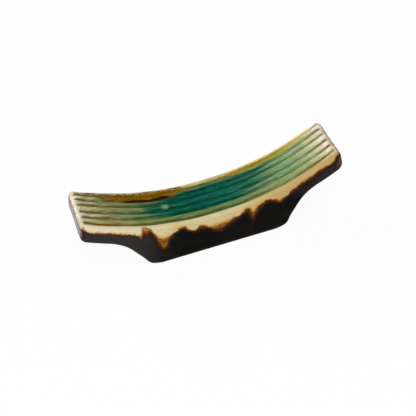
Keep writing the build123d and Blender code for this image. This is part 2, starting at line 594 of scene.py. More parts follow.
@dataclass(frozen=True)
class GlazeBorder:
    """Line where the cream glaze stops, round the bar, in millimetres.

    Attributes:
        front, back: Places along each wall, and heights over the table.
        fray, fray_shift: Small waves of the line, and how far each wall shifts them its own way.
        calm_ends: Distances from the middle between which the small waves fade.
    """

    front: Knots = (
        (-33.7, 18.9), (-33.2, 17.9), (-32.0, 16.6), (-30.0, 15.7), (-27.0, 14.5), (-24.3, 13.1),
        (-21.8, 12.1), (-20.6, 11.0), (-19.9, 10.0), (-19.5, 11.2), (-19.1, 12.7), (-18.7, 13.5),
        (-18.2, 12.9), (-17.6, 12.6), (-17.1, 11.4), (-16.2, 8.8), (-14.7, 4.9), (-14.0, 4.9),
        (-13.0, 7.4), (-11.2, 8.9), (-9.0, 9.6), (-7.4, 8.2), (-6.4, 7.6), (-4.0, 8.4), (-2.3, 7.2),
        (0.3, 6.1), (2.4, 6.8), (4.5, 7.8), (7.0, 8.7), (8.3, 9.8), (9.0, 7.9), (9.5, 6.5), (10.3, 7.8),
        (11.6, 9.6), (14.2, 10.7), (16.0, 9.7), (16.9, 9.1), (18.7, 10.0), (20.5, 11.4), (23.0, 12.9),
        (26.2, 14.5), (28.0, 15.6), (31.0, 16.7), (32.2, 17.4), (32.8, 18.6), (33.7, 19.2),
    )
    back: Knots = (
        (-33.7, 18.9), (-32.0, 16.6), (-28.5, 14.8), (-25.0, 12.6), (-22.0, 12.1), (-19.6, 10.9),
        (-17.6, 8.6), (-16.0, 7.4), (-14.4, 9.2), (-11.0, 9.8), (-8.7, 7.9), (-7.0, 5.3), (-5.4, 7.8),
        (-3.0, 8.9), (0.4, 7.9), (3.2, 7.4), (6.4, 9.3), (9.6, 8.2), (11.9, 5.5), (13.6, 8.6),
        (16.2, 10.6), (19.4, 10.2), (22.4, 10.9), (26.0, 13.8), (30.0, 15.8), (32.6, 17.6), (33.7, 19.1),
    )
    fray: Waves = ((0.1, 2.3, 0.4), (0.07, 1.1, 0.2), (0.05, 0.61, 0.1))
    fray_shift: float = 9.0
    calm_ends: Span = (31.5, 33.0)

    @property
    def reach(self) -> float:
        """Distance from the middle to the ends of the line on the walls."""
        return self.front[-1][0]

    def height(self, side: Side, x: Array) -> Array:
        """Height of the border on a wall.

        Args:
            side: Which wall.
            x: Places along it.

        Returns:
            Height over the table at each place.
        """
        knots = self.front if side is Side.FRONT else self.back
        calm = 1 - ease(*self.calm_ends, np.abs(x))
        return flowing(knots, x) + swell(x + self.fray_shift * side.value, self.fray) * calm


@dataclass(frozen=True)
class GlazeFields:
    """Where each glaze lies over the bar, in millimetres.

    Attributes:
        pool_left, pool_right: Places across the bar, and where the green pool starts and stops along it.
        pool_back, pool_front: Places across the bar where the pool stops.
        pool_fades: Half widths over which it fades at its left, right, back and front.
        back_wave, front_wave: Waves of its edges there.
        amber_strength: Places along the bar, and how much amber glass lies on the far rim.
        amber_inner, amber_wave: Places along the bar, and how far in the amber reaches, with its waves.
        amber_fade: Distances into the amber between which it sets in.
        seam, seam_taper: Start and end of the burnt line inside the amber, and lengths of its two tapers.
        seam_edge: Distances into the amber between which the line sets in.
        seam_width: Its full width.
        seam_fade: Fade of its far edge at its ends, and what is added where it is full.
        burns, burn_share: Places and half sizes of the brown patches on the far rim, and their strength.
        drip_line, drip_fade: Heights on the walls where the cream turns amber, and over what drop.
        rust_hump: Place, height, half width and half height of the rusty patch in the front border.
        pale_spot: Place along and across the bar and half sizes of a pale fleck in the pool.
        runs: Wall, place along it, height, half width and half height of each thick run.
        wall_start: Distance from the middle of the bar beyond which a run can lie.
        saddle_half: Half width of the saddle that is always covered with cream.
        end_glaze_sheen_start, end_glaze_sheen_heights, end_glaze_sheen_half: Where the pale patch on the
        left end sets in, and its half width; it is partly thin glaze and partly painted sheen.
    """

    pool_left: Knots = (
        (-4.4, -11.0), (-3.0, -15.5), (-1.0, -17.5), (1.0, -16.5), (3.0, -11.5), (4.0, -8.0), (5.0, -3.5),
    )
    pool_right: Knots = ((-4.4, 8.0), (-2.0, 12.5), (1.0, 16.5), (4.0, 16.5), (5.0, 9.0))
    pool_back: float = 4.4
    pool_front: float = -3.95
    pool_fades: tuple[float, float, float, float] = (4.0, 7.0, 0.8, 0.4)
    back_wave: Waves = ((0.12, 9.0, 1.0),)
    front_wave: Waves = ((0.08, 7.0, 3.0),)
    amber_strength: Knots = (
        (-30.0, 0.0), (-27.5, 0.7), (-25.0, 1.0), (-9.0, 1.0), (-4.0, 0.75), (6.0, 0.7), (11.0, 0.9),
        (27.0, 0.9), (32.5, 0.0),
    )
    amber_inner: Knots = (
        (-28.5, 6.0), (-27.3, 4.8), (-25.0, 3.9), (-21.0, 3.1), (-16.0, 2.75), (-12.0, 2.95), (-9.0, 3.55),
        (-6.8, 4.25), (-4.5, 5.1), (-2.0, 5.75), (4.0, 5.6), (9.0, 4.95), (13.0, 4.6), (20.0, 4.7),
        (26.0, 5.0), (30.0, 5.6), (32.0, 6.4),
    )
    amber_wave: Waves = ((0.1, 6.0, 1.0), (0.06, 2.3, 0.5))
    amber_fade: Span = (-0.4, 0.3)
    seam: Span = (-27.0, -7.0)
    seam_taper: Span = (9.0, 4.0)
    seam_edge: Span = (-0.3, 0.2)
    seam_width: float = 0.7
    seam_fade: Span = (0.1, 0.3)
    burns: tuple[Spot, ...] = ((-28.7, 6.6, 2.2, 0.65), (-14.3, 6.6, 2.8, 0.55), (-7.1, 6.6, 2.8, 0.6))
    burn_share: float = 0.57
    drip_line: Knots = (
        (-34.0, 9.0), (-24.0, 12.0), (-20.5, 12.8), (-19.5, 12.6), (-17.0, 10.6), (-14.4, 9.8), (-6.0, 9.0),
        (0.0, 9.2), (9.5, 9.8), (17.0, 11.0), (34.0, 9.0),
    )
    drip_fade: float = 2.6
    rust_hump: Spot = (-18.5, 13.0, 2.0, 3.4)
    pale_spot: Spot = (-11.5, -0.1, 1.15, 1.0)
    runs: tuple[tuple[Side, float, float, float, float], ...] = (
        (Side.FRONT, -14.4, 6.2, 1.8, 2.6),
        (Side.FRONT, 0.3, 6.9, 2.6, 1.3),
        (Side.FRONT, 9.55, 7.1, 1.0, 1.9),
        (Side.BACK, -7.0, 6.6, 1.3, 2.2),
        (Side.BACK, 11.9, 6.9, 1.3, 2.4),
    )
    wall_start: float = 6.0
    saddle_half: float = 6.2
    end_glaze_sheen_start: Span = (-33.4, -34.1)
    end_glaze_sheen_half: float = 7.2
    end_glaze_sheen_heights: Span = (14.6, 17.8)

    def pool(self, x: Array, y: Array) -> Array:
        """Share of the green glass.

        Args:
            x: Places along the bar.
            y: Places across it.

        Returns:
            Share at each place, from 0 to 1.
        """
        left, right, back, front = self.pool_fades
        gaps = (
            (x - flowing(self.pool_left, y)) / left,
            (flowing(self.pool_right, y) - x) / right,
            (self.pool_back + swell(x, self.back_wave) - y) / back,
            (y - self.pool_front - swell(x, self.front_wave)) / front,
        )
        return ease(-1, 1, np.minimum.reduce(gaps))

    def amber_gap(self, x: Array, y: Array) -> Array:
        """Distance across the bar into the amber glass."""
        return y - flowing(self.amber_inner, x) - swell(x, self.amber_wave)

    def amber(self, x: Array, y: Array) -> Array:
        """Share of the amber glass, from 0 to 1."""
        return flowing(self.amber_strength, x) * ease(*self.amber_fade, self.amber_gap(x, y))

    def burn(self, x: Array, y: Array) -> Array:
        """Share of the dark burnt glaze at the amber's inner edge and on the far rim.

        Args:
            x: Places along the bar.
            y: Places across it.

        Returns:
            Share at each place, from 0 to 1.
        """
        start, end = self.seam
        growing, shrinking = self.seam_taper
        full = ease(start, start + growing, x) * (1 - ease(end - shrinking, end, x))
        gap = self.amber_gap(x, y)
        past = np.maximum(gap - self.seam_width * full, 0) / (self.seam_fade[0] + self.seam_fade[1] * full)
        total = ease(*self.seam_edge, gap) * np.exp(-(past**2)) * full
        for patch in self.burns:
            total = np.maximum(total, self.burn_share * blot(x, y, patch))
        return total

    def run(self, x: Array, y: Array, z: Array) -> Array:
        """Share of the thick runs on the walls, from 0 to 1."""
        blots = [blot(x, z, spot) * (y * side.value > self.wall_start) for side, *spot in self.runs]
        return np.maximum.reduce(blots)

    def drip(self, x: Array, z: Array) -> Array:
        """Share of amber in the cream glaze on the walls, from 0 to 1."""
        return ease(0.0, self.drip_fade, flowing(self.drip_line, x) - z)

    def end_glaze_sheen(self, x: Array, y: Array, z: Array) -> Array:
        """Share of the pale patch on the left end, partly thin glaze and partly painted sheen, from 0 to 1.
        """
        return ease(*self.end_glaze_sheen_start, x) * (np.abs(y) < self.end_glaze_sheen_half) * ease(*self.end_glaze_sheen_heights, z)


@dataclass(frozen=True)
class BarSurface:
    """Fired surface of the whole rest, from which every coat is taken.

    Attributes:
        outline, comb, border, glazes: Side outline, comb marks, border of the cream, places of the glazes.
        width: Distance between the walls.
        edge_radius, foot_edge_radius: Rounding along the walls' outlines, and along the foot.
        foot_heights: Heights over the table between which one rounding turns into the other.
        columns, rows: Steps along the bar, and down the walls and ends.
        edge_steps, across_steps: Steps round a rounded edge, and across the flat of the band.
        border_steps, border_end_steps: Steps along the glaze border on a wall, and across an end.
        long_swell, cross_swell: Waves of the hand-made surface along and across the bar.
        swell_lean: How far the waves across the bar lean with the height.
        level_foot: Heights over the table between which the waves set in.
    """

    outline: SideOutline
    comb: CombMarks
    border: GlazeBorder
    glazes: GlazeFields
    width: float
    edge_radius: float = 0.95
    foot_edge_radius: float = 0.2
    foot_heights: Span = (3.0, 0.5)
    columns: int = 240
    rows: int = 56
    edge_steps: int = 7
    across_steps: int = 82
    border_steps: int = 1400
    border_end_steps: int = 300
    long_swell: Waves = ((0.05, 27.0, 4.0), (0.035, 13.0, 2.0))
    cross_swell: Waves = ((0.03, 9.0, 1.0),)
    swell_lean: float = 0.3
    level_foot: Span = (0.6, 3.0)

    def across(self, radius: Array) -> tuple[Array, Array]:
        """Rows of the band across the bar.

        Args:
            radius: Rounding of the edge at each station.

        Returns:
            Place across the bar, and inset from the outline, for each station and row.
        """
        half = self.width / 2
        turn = np.linspace(math.pi / 2, 0, self.edge_steps + 1)[:-1]
        edge_y = half - radius[:, None] * (1 - np.sin(turn))
        edge_inset = radius[:, None] * (1 - np.cos(turn))
        middle = (half - radius)[:, None] * np.linspace(-1, 1, self.across_steps + 1)
        y = np.concatenate([-edge_y, middle, edge_y[:, ::-1]], 1)
        inset = np.concatenate([edge_inset, np.zeros_like(middle), edge_inset[:, ::-1]], 1)
        return y, inset

    def combing(self, loop: Array, stretch: Array, y: Array, inset: Array) -> tuple[Array, Array]:
        """Depth of the comb marks over the band.

        Args:
            loop: Points round the outline.
            stretch: Stretch of the outline that each lies in.
            y: Place across the bar for each point and row.
            inset: Inset from the outline for each point and row.

        Returns:
            Depth for each point and row, and the depth that shows in the colour.
        """
        comb = self.comb
        x = np.repeat(loop[:, :1], y.shape[1], 1)
        marks = comb.depth(x.ravel(), y.ravel(), self.outline.length / 2).reshape(x.shape)
        marks = marks * np.cos(np.clip(inset / self.edge_radius, 0, 1) * math.pi / 2)
        walk = np.minimum(*[np.linalg.norm(loop - tip, axis=1) for tip in loop[[0, self.columns]]])
        on_saddle = stretch == Region.SADDLE.value
        on_end = np.isin(stretch, (Region.RIGHT_END.value, Region.LEFT_END.value))
        grown = comb.tip_share + (1 - comb.tip_share) * ease(*comb.tip_fade, walk)
        left_over = comb.tip_share * (1 - ease(0.0, comb.run_out, walk))
        sunk = on_saddle * grown + on_end * left_over
        stained = on_saddle * ease(*comb.stain_fade, walk)
        return marks * sunk[:, None], marks * stained[:, None]

    def build(self) -> Skin:
        """Mesh of the surface with its fields.

        Returns:
            Closed surface in millimetres.
        """
        loop, normal, stretch = self.outline.stations(self.columns, self.rows)
        foot = ease(*self.foot_heights, loop[:, 1])
        y, inset = self.across(self.edge_radius + (self.foot_edge_radius - self.edge_radius) * foot)
        sunk, stained = self.combing(loop, stretch, y, inset)

        def band_at(depth: Array) -> Array:
            """Points of the band at a depth below the outline."""
            spot = loop[:, None, :] - normal[:, None, :] * depth[:, :, None]
            return np.stack([spot[..., 0], y, spot[..., 1]], -1).reshape(-1, 3)

        band = band_at(inset + sunk)
        stations, lines = y.shape
        number = np.arange(stations * lines).reshape(stations, lines)
        ahead = np.roll(number, -1, axis=0)
        quads = [np.stack([number[:, :-1], ahead[:, :-1], ahead[:, 1:], number[:, 1:]], -1).reshape(-1, 4)]
        walls: list[Array] = []
        for side, line in ((Side.FRONT, 0), (Side.BACK, lines - 1)):
            start = len(band) + sum(map(len, walls))
            wall, wall_quads = self.wall(number[:, line], band, start, side)
            walls.append(wall)
            quads.append(wall_quads)
        faces = np.concatenate(quads)
        triangles = np.concatenate([faces[:, [0, 1, 2]], faces[:, [0, 2, 3]]])
        on_walls = sum(map(len, walls))
        stained = np.concatenate([stained.ravel(), np.zeros(on_walls)])
        stretch = np.concatenate([np.repeat(stretch, lines), np.full(on_walls, Region.WALL.value)])
        fields = self.measure(np.concatenate([band_at(inset), *walls]), stained, stretch)
        skin = Skin(np.concatenate([band, *walls]), triangles, fields)
        skin.points = skin.points + skin.normals() * self.unevenness(skin.points)[:, None]
        return skin

    def wall(self, rim: Array, band: Array, start: int, side: Side) -> tuple[Array, Array]:
        """Flat wall inside one edge of the band.

        Args:
            rim: Point numbers round the edge.
            band: Points of the band.
            start: Number of the first new point.
            side: Which wall.

        Returns:
            New points, and the quads that join them to the edge.
        """
        columns, rows = self.columns, self.rows
        top = rim[: columns + 1]
        right = rim[columns : columns + rows + 1]
        bottom = rim[columns + rows : 2 * columns + rows + 1][::-1]
        left = np.concatenate([rim[2 * columns + rows :], rim[:1]])[::-1]
        along = np.linspace(0, 1, columns + 1)[:, None, None]
        down = np.linspace(0, 1, rows + 1)[None, :, None]
        upper, lower = band[top][:, None], band[bottom][:, None]
        up_down = (1 - down) * upper + down * lower
        across = (1 - along) * band[left][None] + along * band[right][None]
        corners = (1 - along) * up_down[:1] + along * up_down[-1:]
        patch = up_down + across - corners
        numbers = np.zeros((columns + 1, rows + 1), int)
        numbers[:, 0], numbers[:, -1] = top, bottom
        numbers[0], numbers[-1] = left, right
        inner = patch[1:-1, 1:-1].reshape(-1, 3)
        numbers[1:-1, 1:-1] = start + np.arange(len(inner)).reshape(columns - 1, rows - 1)
        around = (numbers[:-1, :-1], numbers[:-1, 1:], numbers[1:, 1:], numbers[1:, :-1])
        quads = np.stack(around, -1).reshape(-1, 4)
        return inner, quads if side is Side.FRONT else quads[:, ::-1]

    def unevenness(self, points: Array) -> Array:
        """Slight swell of the hand-made surface.

        Args:
            points: Points of the surface.

        Returns:
            Height of the swell at each point.
        """
        x, y, z = points.T
        waves = swell(x, self.long_swell) + swell(y + self.swell_lean * z, self.cross_swell)
        return waves * ease(*self.level_foot, z)

    def border_curve(self) -> Array:
        """Closed line round the bar where the cream glaze stops.

        Returns:
            Points of the line on the front wall, the back wall, the left end and the right end.
        """
        x = np.linspace(-self.border.reach, self.border.reach, self.border_steps)
        front, back = (
            np.stack([x, np.full_like(x, side.value * self.width / 2), self.border.height(side, x)], 1)
            for side in Side
        )
        share = np.linspace(0, 1, self.border_end_steps)[:, None]
        ends = []
        for edge in (0, -1):
            line = front[edge] * (1 - share) + back[edge] * share
            line[:, 0] = math.copysign(1, line[0, 0]) * self.outline.end_reach(line[:, 2])
            ends.append(line)
        return np.concatenate([front, back, *ends])

    def measure(self, points: Array, stained: Array, stretch: Array) -> dict[str, Array]:
        """Fields over the surface.

        Args:
            points: Points of the surface before it was combed.
            stained: Depth of the coloured comb marks at each.
            stretch: Stretch of the outline that each lies on.

        Returns:
            Signed distance to the border, groove depth, and the share of each glaze and patch.
        """
        x, y, z = points.T
        glazes = self.glazes
        line = self.border_curve()
        tree = KDTree(len(line))
        for index, spot in enumerate(line):
            tree.insert(spot, index)
        tree.balance()
        gap = np.array([tree.find(spot)[2] for spot in points])
        share = np.clip(y / self.width + 0.5, 0, 1)
        at = np.clip(x, -self.border.reach, self.border.reach)
        front, back = (self.border.height(side, at) for side in Side)
        on_saddle = stretch == Region.SADDLE.value
        above = z > front * (1 - share) + back * share
        above = above | (on_saddle & (np.abs(y) < glazes.saddle_half))
        above = above & (stretch != Region.UNDERSIDE.value)
        return {
            "edge": np.where(above, gap, -gap),
            "groove": stained / max(self.comb.depths),
            "pool": glazes.pool(x, y) * on_saddle,
            "amber": glazes.amber(x, y) * (stretch != Region.WALL.value),
            "burn": glazes.burn(x, y),
            "drip": glazes.drip(x, z),
            "rust": blot(x, z, glazes.rust_hump) * (y < 0),
            "run": glazes.run(x, y, z),
            "pale": blot(x, y, glazes.pale_spot) * on_saddle,
            "end": glazes.end_glaze_sheen(x, y, z),
        }


class Shade:
    """A number or a colour in a node tree, with the usual signs for sums."""

    def __init__(self, graph: "Graph", socket: Socket) -> None:
        """Hold an output of a node.

        Args:
            graph: Graph that its sums are built in.
            socket: The output.
        """
        self.graph = graph
        self.socket = socket

    def __add__(self, other: "Feed") -> "Shade":
        """Sum of two numbers."""
        return self.graph.math("ADD", self, other)

    def __sub__(self, other: "Feed") -> "Shade":
        """This number less another."""
        return self.graph.math("SUBTRACT", self, other)

    def __rsub__(self, other: float) -> "Shade":
        """A plain number less this one."""
        return self.graph.math("SUBTRACT", other, self)

    def __mul__(self, other: "Feed") -> "Shade":
        """Product of two numbers."""
        return self.graph.math("MULTIPLY", self, other)

    def __truediv__(self, other: "Feed") -> "Shade":
        """This number divided by another."""
        return self.graph.math("DIVIDE", self, other)

    def __abs__(self) -> "Shade":
        """The number without its sign."""
        return self.graph.math("ABSOLUTE", self)


Feed = Union[float, Sequence[float], Socket, Shade]


class Graph:
    """A node tree with short calls for the nodes that the finishes use."""

    def __init__(self, tree: bpy.types.NodeTree) -> None:
        """Start on a tree.

        Args:
            tree: Node tree of a material or a group.
        """
        self.tree = tree

    def node(self, kind: str, **settings: object) -> bpy.types.Node:
        """New node with some of its settings.

        Args:
            kind: Type of the node.
            settings: Values of its properties.

        Returns:
            The node.
        """
        made = self.tree.nodes.new(kind)
        for name, value in settings.items():
            setattr(made, name, value)
        return made

    def feed(self, socket: Socket, value: Feed) -> None:
        """Link a socket, or set its value.

        Args:
            socket: Input of a node.
            value: What it gets.
        """
        value = value.socket if isinstance(value, Shade) else value
        if isinstance(value, Socket):
            self.tree.links.new(value, socket)
        else:
            socket.default_value = value

    def math(self, operation: str, first: Feed, second: Feed = 0.0) -> Shade:
        """Result of a sum of one or two numbers.

        Args:
            operation: Name of the sum.
            first: First number.
            second: Second number, where it takes one.

        Returns:
            The result.
        """
        made = self.node("ShaderNodeMath", operation=operation)
        self.feed(made.inputs[0], first)
        self.feed(made.inputs[1], second)
        return Shade(self, made.outputs[0])

    def step(self, value: Feed, low: float, high: float, start: float = 0.0, stop: float = 1.0) -> Shade:
        """Smooth step of a number.

        Args:
            value: What is mapped.
            low: Number that gives start.
            high: Number that gives stop.
            start: Result at low.
            stop: Result at high.

        Returns:
            The mapped number.
        """
        made = self.node("ShaderNodeMapRange", interpolation_type="SMOOTHSTEP")
        feeds = {"Value": value, "From Min": low, "From Max": high, "To Min": start, "To Max": stop}
        for name, feed in feeds.items():
            self.feed(made.inputs[name], feed)
        return Shade(self, made.outputs["Result"])

    def mix(self, factor: Feed, first: Feed, second: Feed, blend: str = "MIX") -> Shade:
        """Blend of two colours.

        Args:
            factor: Share of the second colour.
            first: First colour.
            second: Second colour.
            blend: How they blend.

        Returns:
            The blended colour.
        """
        made = self.node("ShaderNodeMix", data_type="RGBA", blend_type=blend)
        colours = [socket for socket in made.inputs if socket.type == "RGBA"]
        self.feed(made.inputs[0], factor)
        self.feed(colours[0], first)
        self.feed(colours[1], second)
        return Shade(self, next(socket for socket in made.outputs if socket.type == "RGBA"))

    def ramp(self, factor: Feed, stops: Stops) -> Shade:
        """Colour along a row of stops.

        Args:
            factor: Place along the row.
            stops: Place and colour of each stop.

        Returns:
            The colour.
        """
        made = self.node("ShaderNodeValToRGB")
        elements = made.color_ramp.elements
        for _ in range(len(stops) - 2):
            elements.new(0.5)
        for element, (place, colour) in zip(elements, stops):
            element.position = place
            element.color = colour
        self.feed(made.inputs["Fac"], factor)
        return Shade(self, made.outputs["Color"])

    def place(self, stretch: Sequence[float] = EVEN) -> Socket:
        """Place in the frame, in millimetres, stretched along the axes.

        Args:
            stretch: Factor along each axis.

        Returns:
            The place as a vector.
        """
        coordinates = self.node("ShaderNodeTexCoord")
        made = self.node("ShaderNodeVectorMath", operation="MULTIPLY")
        self.feed(made.inputs[0], coordinates.outputs["Object"])
        self.feed(made.inputs[1], [factor / MM for factor in stretch])
        return made.outputs[0]

    def axes(self) -> list[Shade]:
        """Places along the three axes of the frame, in millimetres.

        Returns:
            Place along X, Y and Z.
        """
        split = self.node("ShaderNodeSeparateXYZ")
        self.feed(split.inputs[0], self.place())
        return [Shade(self, output) for output in split.outputs]

    def noise(
        self, scale: float, detail: float = 2.0, rough: float = 0.5, stretch: Sequence[float] = EVEN
    ) -> Shade:
        """Cloudy noise from 0 to 1.

        Args:
            scale: Clouds per millimetre.
            detail: Octaves.
            rough: Weight of the finer octaves.
            stretch: Factor on the place along each axis.

        Returns:
            The noise.
        """
        made = self.node("ShaderNodeTexNoise")
        feeds = {"Vector": self.place(stretch), "Scale": scale, "Detail": detail, "Roughness": rough}
        for name, feed in feeds.items():
            self.feed(made.inputs[name], feed)
        return Shade(self, made.outputs["Fac"])

    def read(self, name: str) -> Shade:
        """Number that the mesh carries under a name."""
        return Shade(self, self.node("ShaderNodeAttribute", attribute_name=name).outputs["Fac"])


class NodeGroup(ABC):
    """A shader node group that is built once and placed in each material."""

    name: str
    inputs: tuple[str, ...]
    outputs: tuple[tuple[str, str], ...]

    def tree(self) -> bpy.types.NodeTree:
        """The group's tree, built at its first use.

        Returns:
            The tree.
        """
        found = bpy.data.node_groups.get(self.name)
        if found:
            return found
        tree = bpy.data.node_groups.new(self.name, "ShaderNodeTree")
        for label in self.inputs:
            tree.interface.new_socket(label, in_out="INPUT", socket_type="NodeSocketFloat")
        for label, kind in self.outputs:
            tree.interface.new_socket(label, in_out="OUTPUT", socket_type=kind)
        graph = Graph(tree)
        source = graph.node("NodeGroupInput")
        sink = graph.node("NodeGroupOutput")
        results = self.wire(graph, {label: Shade(graph, source.outputs[label]) for label in self.inputs})
        for label, result in results.items():
            graph.feed(sink.inputs[label], result)
        return tree

    @abstractmethod
    def wire(self, graph: Graph, given: dict[str, Shade]) -> dict[str, Shade]:
        """Build the nodes between the group's inputs and outputs.

        Args:
            graph: Graph of the group.
            given: Its inputs, by name.

        Returns:
            What its outputs get, by name.
        """

    def use(self, graph: Graph, **values: Feed) -> bpy.types.Node:
        """Place the group in a material.

        Args:
            graph: Graph of the material.
            values: What its inputs get, by name.

        Returns:
            The group node.
        """
        made = graph.node("ShaderNodeGroup", node_tree=self.tree())
        for label, value in values.items():
            graph.feed(made.inputs[label], value)
        return made


class GlazeLayers:
    """Colour of the running glazes, laid one over the other.

    The rows of colours run along the bar, with places in millimetres from its middle. HALO alone runs
    in from the border, from 0 to 1. SPAN is the length of the rows, and WANDER how far the streaks shift
    them. FRONT_RIM and BACK_RIM say between which places across the bar the cream of a rim sets in.
    The noises are given as clouds per millimetre, octaves, weight of the finer ones and stretch.
    """

    SPAN = 70.0
    WANDER = 10.0
    FRONT_RIM = (-6.2, -6.55)
    BACK_RIM = (6.2, 6.6)

    STREAKS = (0.9, 4.0, 0.65, (0.16, 1.8, 1.0))
    FINE_STREAKS = (1.0, 3.0, 0.6, (0.2, 3.6, 1.0))
    CLOUDS = (0.8, 5.0, 0.65)
    FLECKS = (1.4, 5.0, 0.7, (0.7, 1.3, 1.0))
    WIDE_CLOUDS = (0.3,)

    # The near-white stops at both ends are partly thin cream glaze over the rib tips and partly painted
    # highlight.
    RIBS = colour_row(
        (-34.5, 250, 242, 222), (-31, 210, 198, 152), (-27, 156, 148, 98), (-21, 136, 146, 96),
        (-16, 106, 128, 78), (-11, 104, 124, 68), (2, 94, 116, 64), (12, 114, 138, 94), (20, 128, 160, 112),
        (27, 168, 178, 132), (30, 212, 206, 164), (32.5, 246, 234, 212),
    )
    GROOVES = colour_row(
        (-34.5, 128, 84, 44), (-30, 112, 104, 52), (-22, 82, 102, 50), (-14, 16, 72, 38), (8, 26, 88, 58),
        (18, 78, 120, 76), (25, 98, 132, 82), (30, 116, 116, 68), (33, 112, 92, 46),
    )
    # The near-white last stop is partly pale glaze at the right tip and partly painted highlight.
    AMBER = colour_row(
        (-29, 126, 112, 48), (-22, 124, 82, 3), (-15, 128, 94, 3), (-8, 134, 98, 3), (-5, 138, 112, 30),
        (-2, 190, 192, 116), (6, 194, 160, 70), (13, 150, 138, 34), (22, 174, 164, 46), (27, 198, 186, 100),
        (31, 246, 226, 176),
    )
    CREAM = colour_row(
        (-34, 230, 217, 188), (-14, 218, 204, 162), (-10, 210, 188, 128), (-6, 214, 200, 154),
        (5, 212, 194, 142), (13, 200, 172, 112), (32, 188, 156, 98),
    )
    GLASS = colour_row(
        (-20, 60, 110, 64), (-11, 16, 108, 74), (-3, 2, 108, 86), (6, 14, 114, 90), (15, 76, 138, 104),
    )
    DEEP_GLASS = colour_row(
        (-20, 34, 80, 38), (-11, 2, 82, 54), (-3, 0, 78, 62), (6, 2, 86, 66), (15, 40, 106, 76),
    )
    HALO = colour_row(
        (0.0, 40, 16, 3), (0.16, 92, 44, 0), (0.36, 152, 94, 0), (0.65, 200, 146, 34), (1.0, 214, 182, 104),
    )

    OLIVE_STREAK = tone(62, 90, 44)
    PALE_STREAK = tone(200, 206, 160)
    FRONT_TINT = tone(176, 158, 72)
    BROWN_GROOVE = tone(106, 78, 0)
    GLASS_GROOVE = tone(0, 46, 33)
    LIGHT_GLASS = tone(60, 142, 114)
    DARK_GLASS = tone(0, 56, 46)
    AMBER_GROOVE = tone(88, 56, 2)
    AMBER_FLECK = tone(170, 124, 12)
    AMBER_SHADE = (0.5, 0.46, 0.3, 1.0)
    LIGHT_AMBER = tone(196, 150, 40)
    # Golden colour of the painted glints on the far rim.
    PAINTED_RIM_GLINT = tone(238, 208, 132)
    CREAM_CLOUD = tone(204, 176, 104)
    # Pale cream of the painted highlight along the far rim.
    PAINTED_RIM_HIGHLIGHT = tone(246, 232, 172)
    HONEY = tone(150, 94, 0)
    DARK_HONEY = tone(102, 58, 0)
    STRAW = tone(208, 164, 72)
    PALE_FLECK = tone(150, 184, 160)
    SCORCH = tone(112, 66, 16)
    CHAR = tone(30, 18, 0)
    RUST = tone(172, 116, 62)

    def __init__(self, graph: Graph, given: dict[str, Shade]) -> None:
        """Work out the places and noises that the layers share, and lay the first one.

        Args:
            graph: Graph of the group.
            given: The group's inputs, by name.
        """
        self.graph = graph
        self.given = given
        self.x, self.y, _ = graph.axes()
        self.sway = graph.noise(*self.STREAKS) - 0.5
        self.comb = graph.noise(*self.FINE_STREAKS)
        self.clouds = graph.noise(*self.CLOUDS)
        self.flecks = graph.noise(*self.FLECKS)
        self.along = (self.x + self.sway * self.WANDER) / self.SPAN + 0.5
        self.depth = given["Groove"] + self.sway * 1.1
        self.sunk = graph.step(self.depth, 0.0, 0.85)
        self.honey = graph.mix(graph.step(self.flecks, 0.35, 0.7), self.HONEY, self.DARK_HONEY)
        front_rim = graph.step(self.y, *self.FRONT_RIM)
        self.rim = graph.math("MAXIMUM", front_rim, graph.step(self.y, *self.BACK_RIM))
        self.body = graph.mix(self.sunk, self.row(self.RIBS), self.row(self.GROOVES))

    def row(self, stops: Stops) -> Shade:
        """Colour along the bar, from places in millimetres and colours."""
        return self.graph.ramp(self.along, [(place / self.SPAN + 0.5, colour) for place, colour in stops])

    def lay(self, share: Feed, colour: Feed) -> None:
        """Lay a share of a colour over what is there."""
        self.body = self.graph.mix(share, self.body, colour)

    def streaked_saddle(self) -> None:
        """Olive and pale streaks, a straw tint in front and browner grooves towards the ends."""
        step = self.graph.step
        out = abs(self.x)
        self.lay(step(self.comb, 0.5, 0.34, 0.0, 0.42), self.OLIVE_STREAK)
        self.lay(step(self.comb, 0.52, 0.66, 0.0, 0.3), self.PALE_STREAK)
        tint = step(self.y, -2.8, -5.4, 0.0, 0.38) * step(out, 4.0, 15.0, 0.3, 1.0)
        self.lay(tint * step(self.sunk, 0.2, 0.8, 1.0, 0.2), self.FRONT_TINT)
        outer = step(abs(self.y), 4.4, 5.4)
        self.lay(outer * self.sunk * step(out, 18.0, 29.0, 0.15, 0.85), self.BROWN_GROOVE)

    def green_glass(self) -> None:
        """Copper green glass in the middle of the saddle, deepest in the grooves."""
        step = self.graph.step
        mix = self.graph.mix
        glass = mix(step(self.flecks, 0.32, 0.68), self.row(self.DEEP_GLASS), self.row(self.GLASS))
        glass = mix(self.sunk * 0.76, glass, self.GLASS_GROOVE)
        glass = mix(step(self.comb, 0.52, 0.66, 0.0, 0.4), glass, self.LIGHT_GLASS)
        glass = mix(step(self.comb, 0.48, 0.34, 0.0, 0.5), glass, self.DARK_GLASS)
        pooled = self.given["Pool"] + self.sunk * 0.22 + self.sway * 0.9 + (self.flecks - 0.5) * 0.5
        self.lay(step(pooled, 0.22, 0.98), glass)

    def amber_glass(self) -> None:
        """Amber glass along the far rim, with painted highlights as glints on the edge."""
        step = self.graph.step
        mix = self.graph.mix
        amber = mix(step(self.depth, 0.25, 0.9, 0.0, 0.6), self.row(self.AMBER), self.AMBER_GROOVE)
        amber = mix(step(self.flecks, 0.5, 0.72, 0.0, 0.35), amber, self.AMBER_FLECK)
        amber = mix(step(self.comb, 0.5, 0.34, 0.0, 0.8), amber, self.AMBER_SHADE, "MULTIPLY")
        amber = mix(step(self.comb, 0.53, 0.66, 0.0, 0.3), amber, self.LIGHT_AMBER)
        self.lay(step(self.given["Amber"] + self.sway * 1.1, 0.1, 0.85), amber)
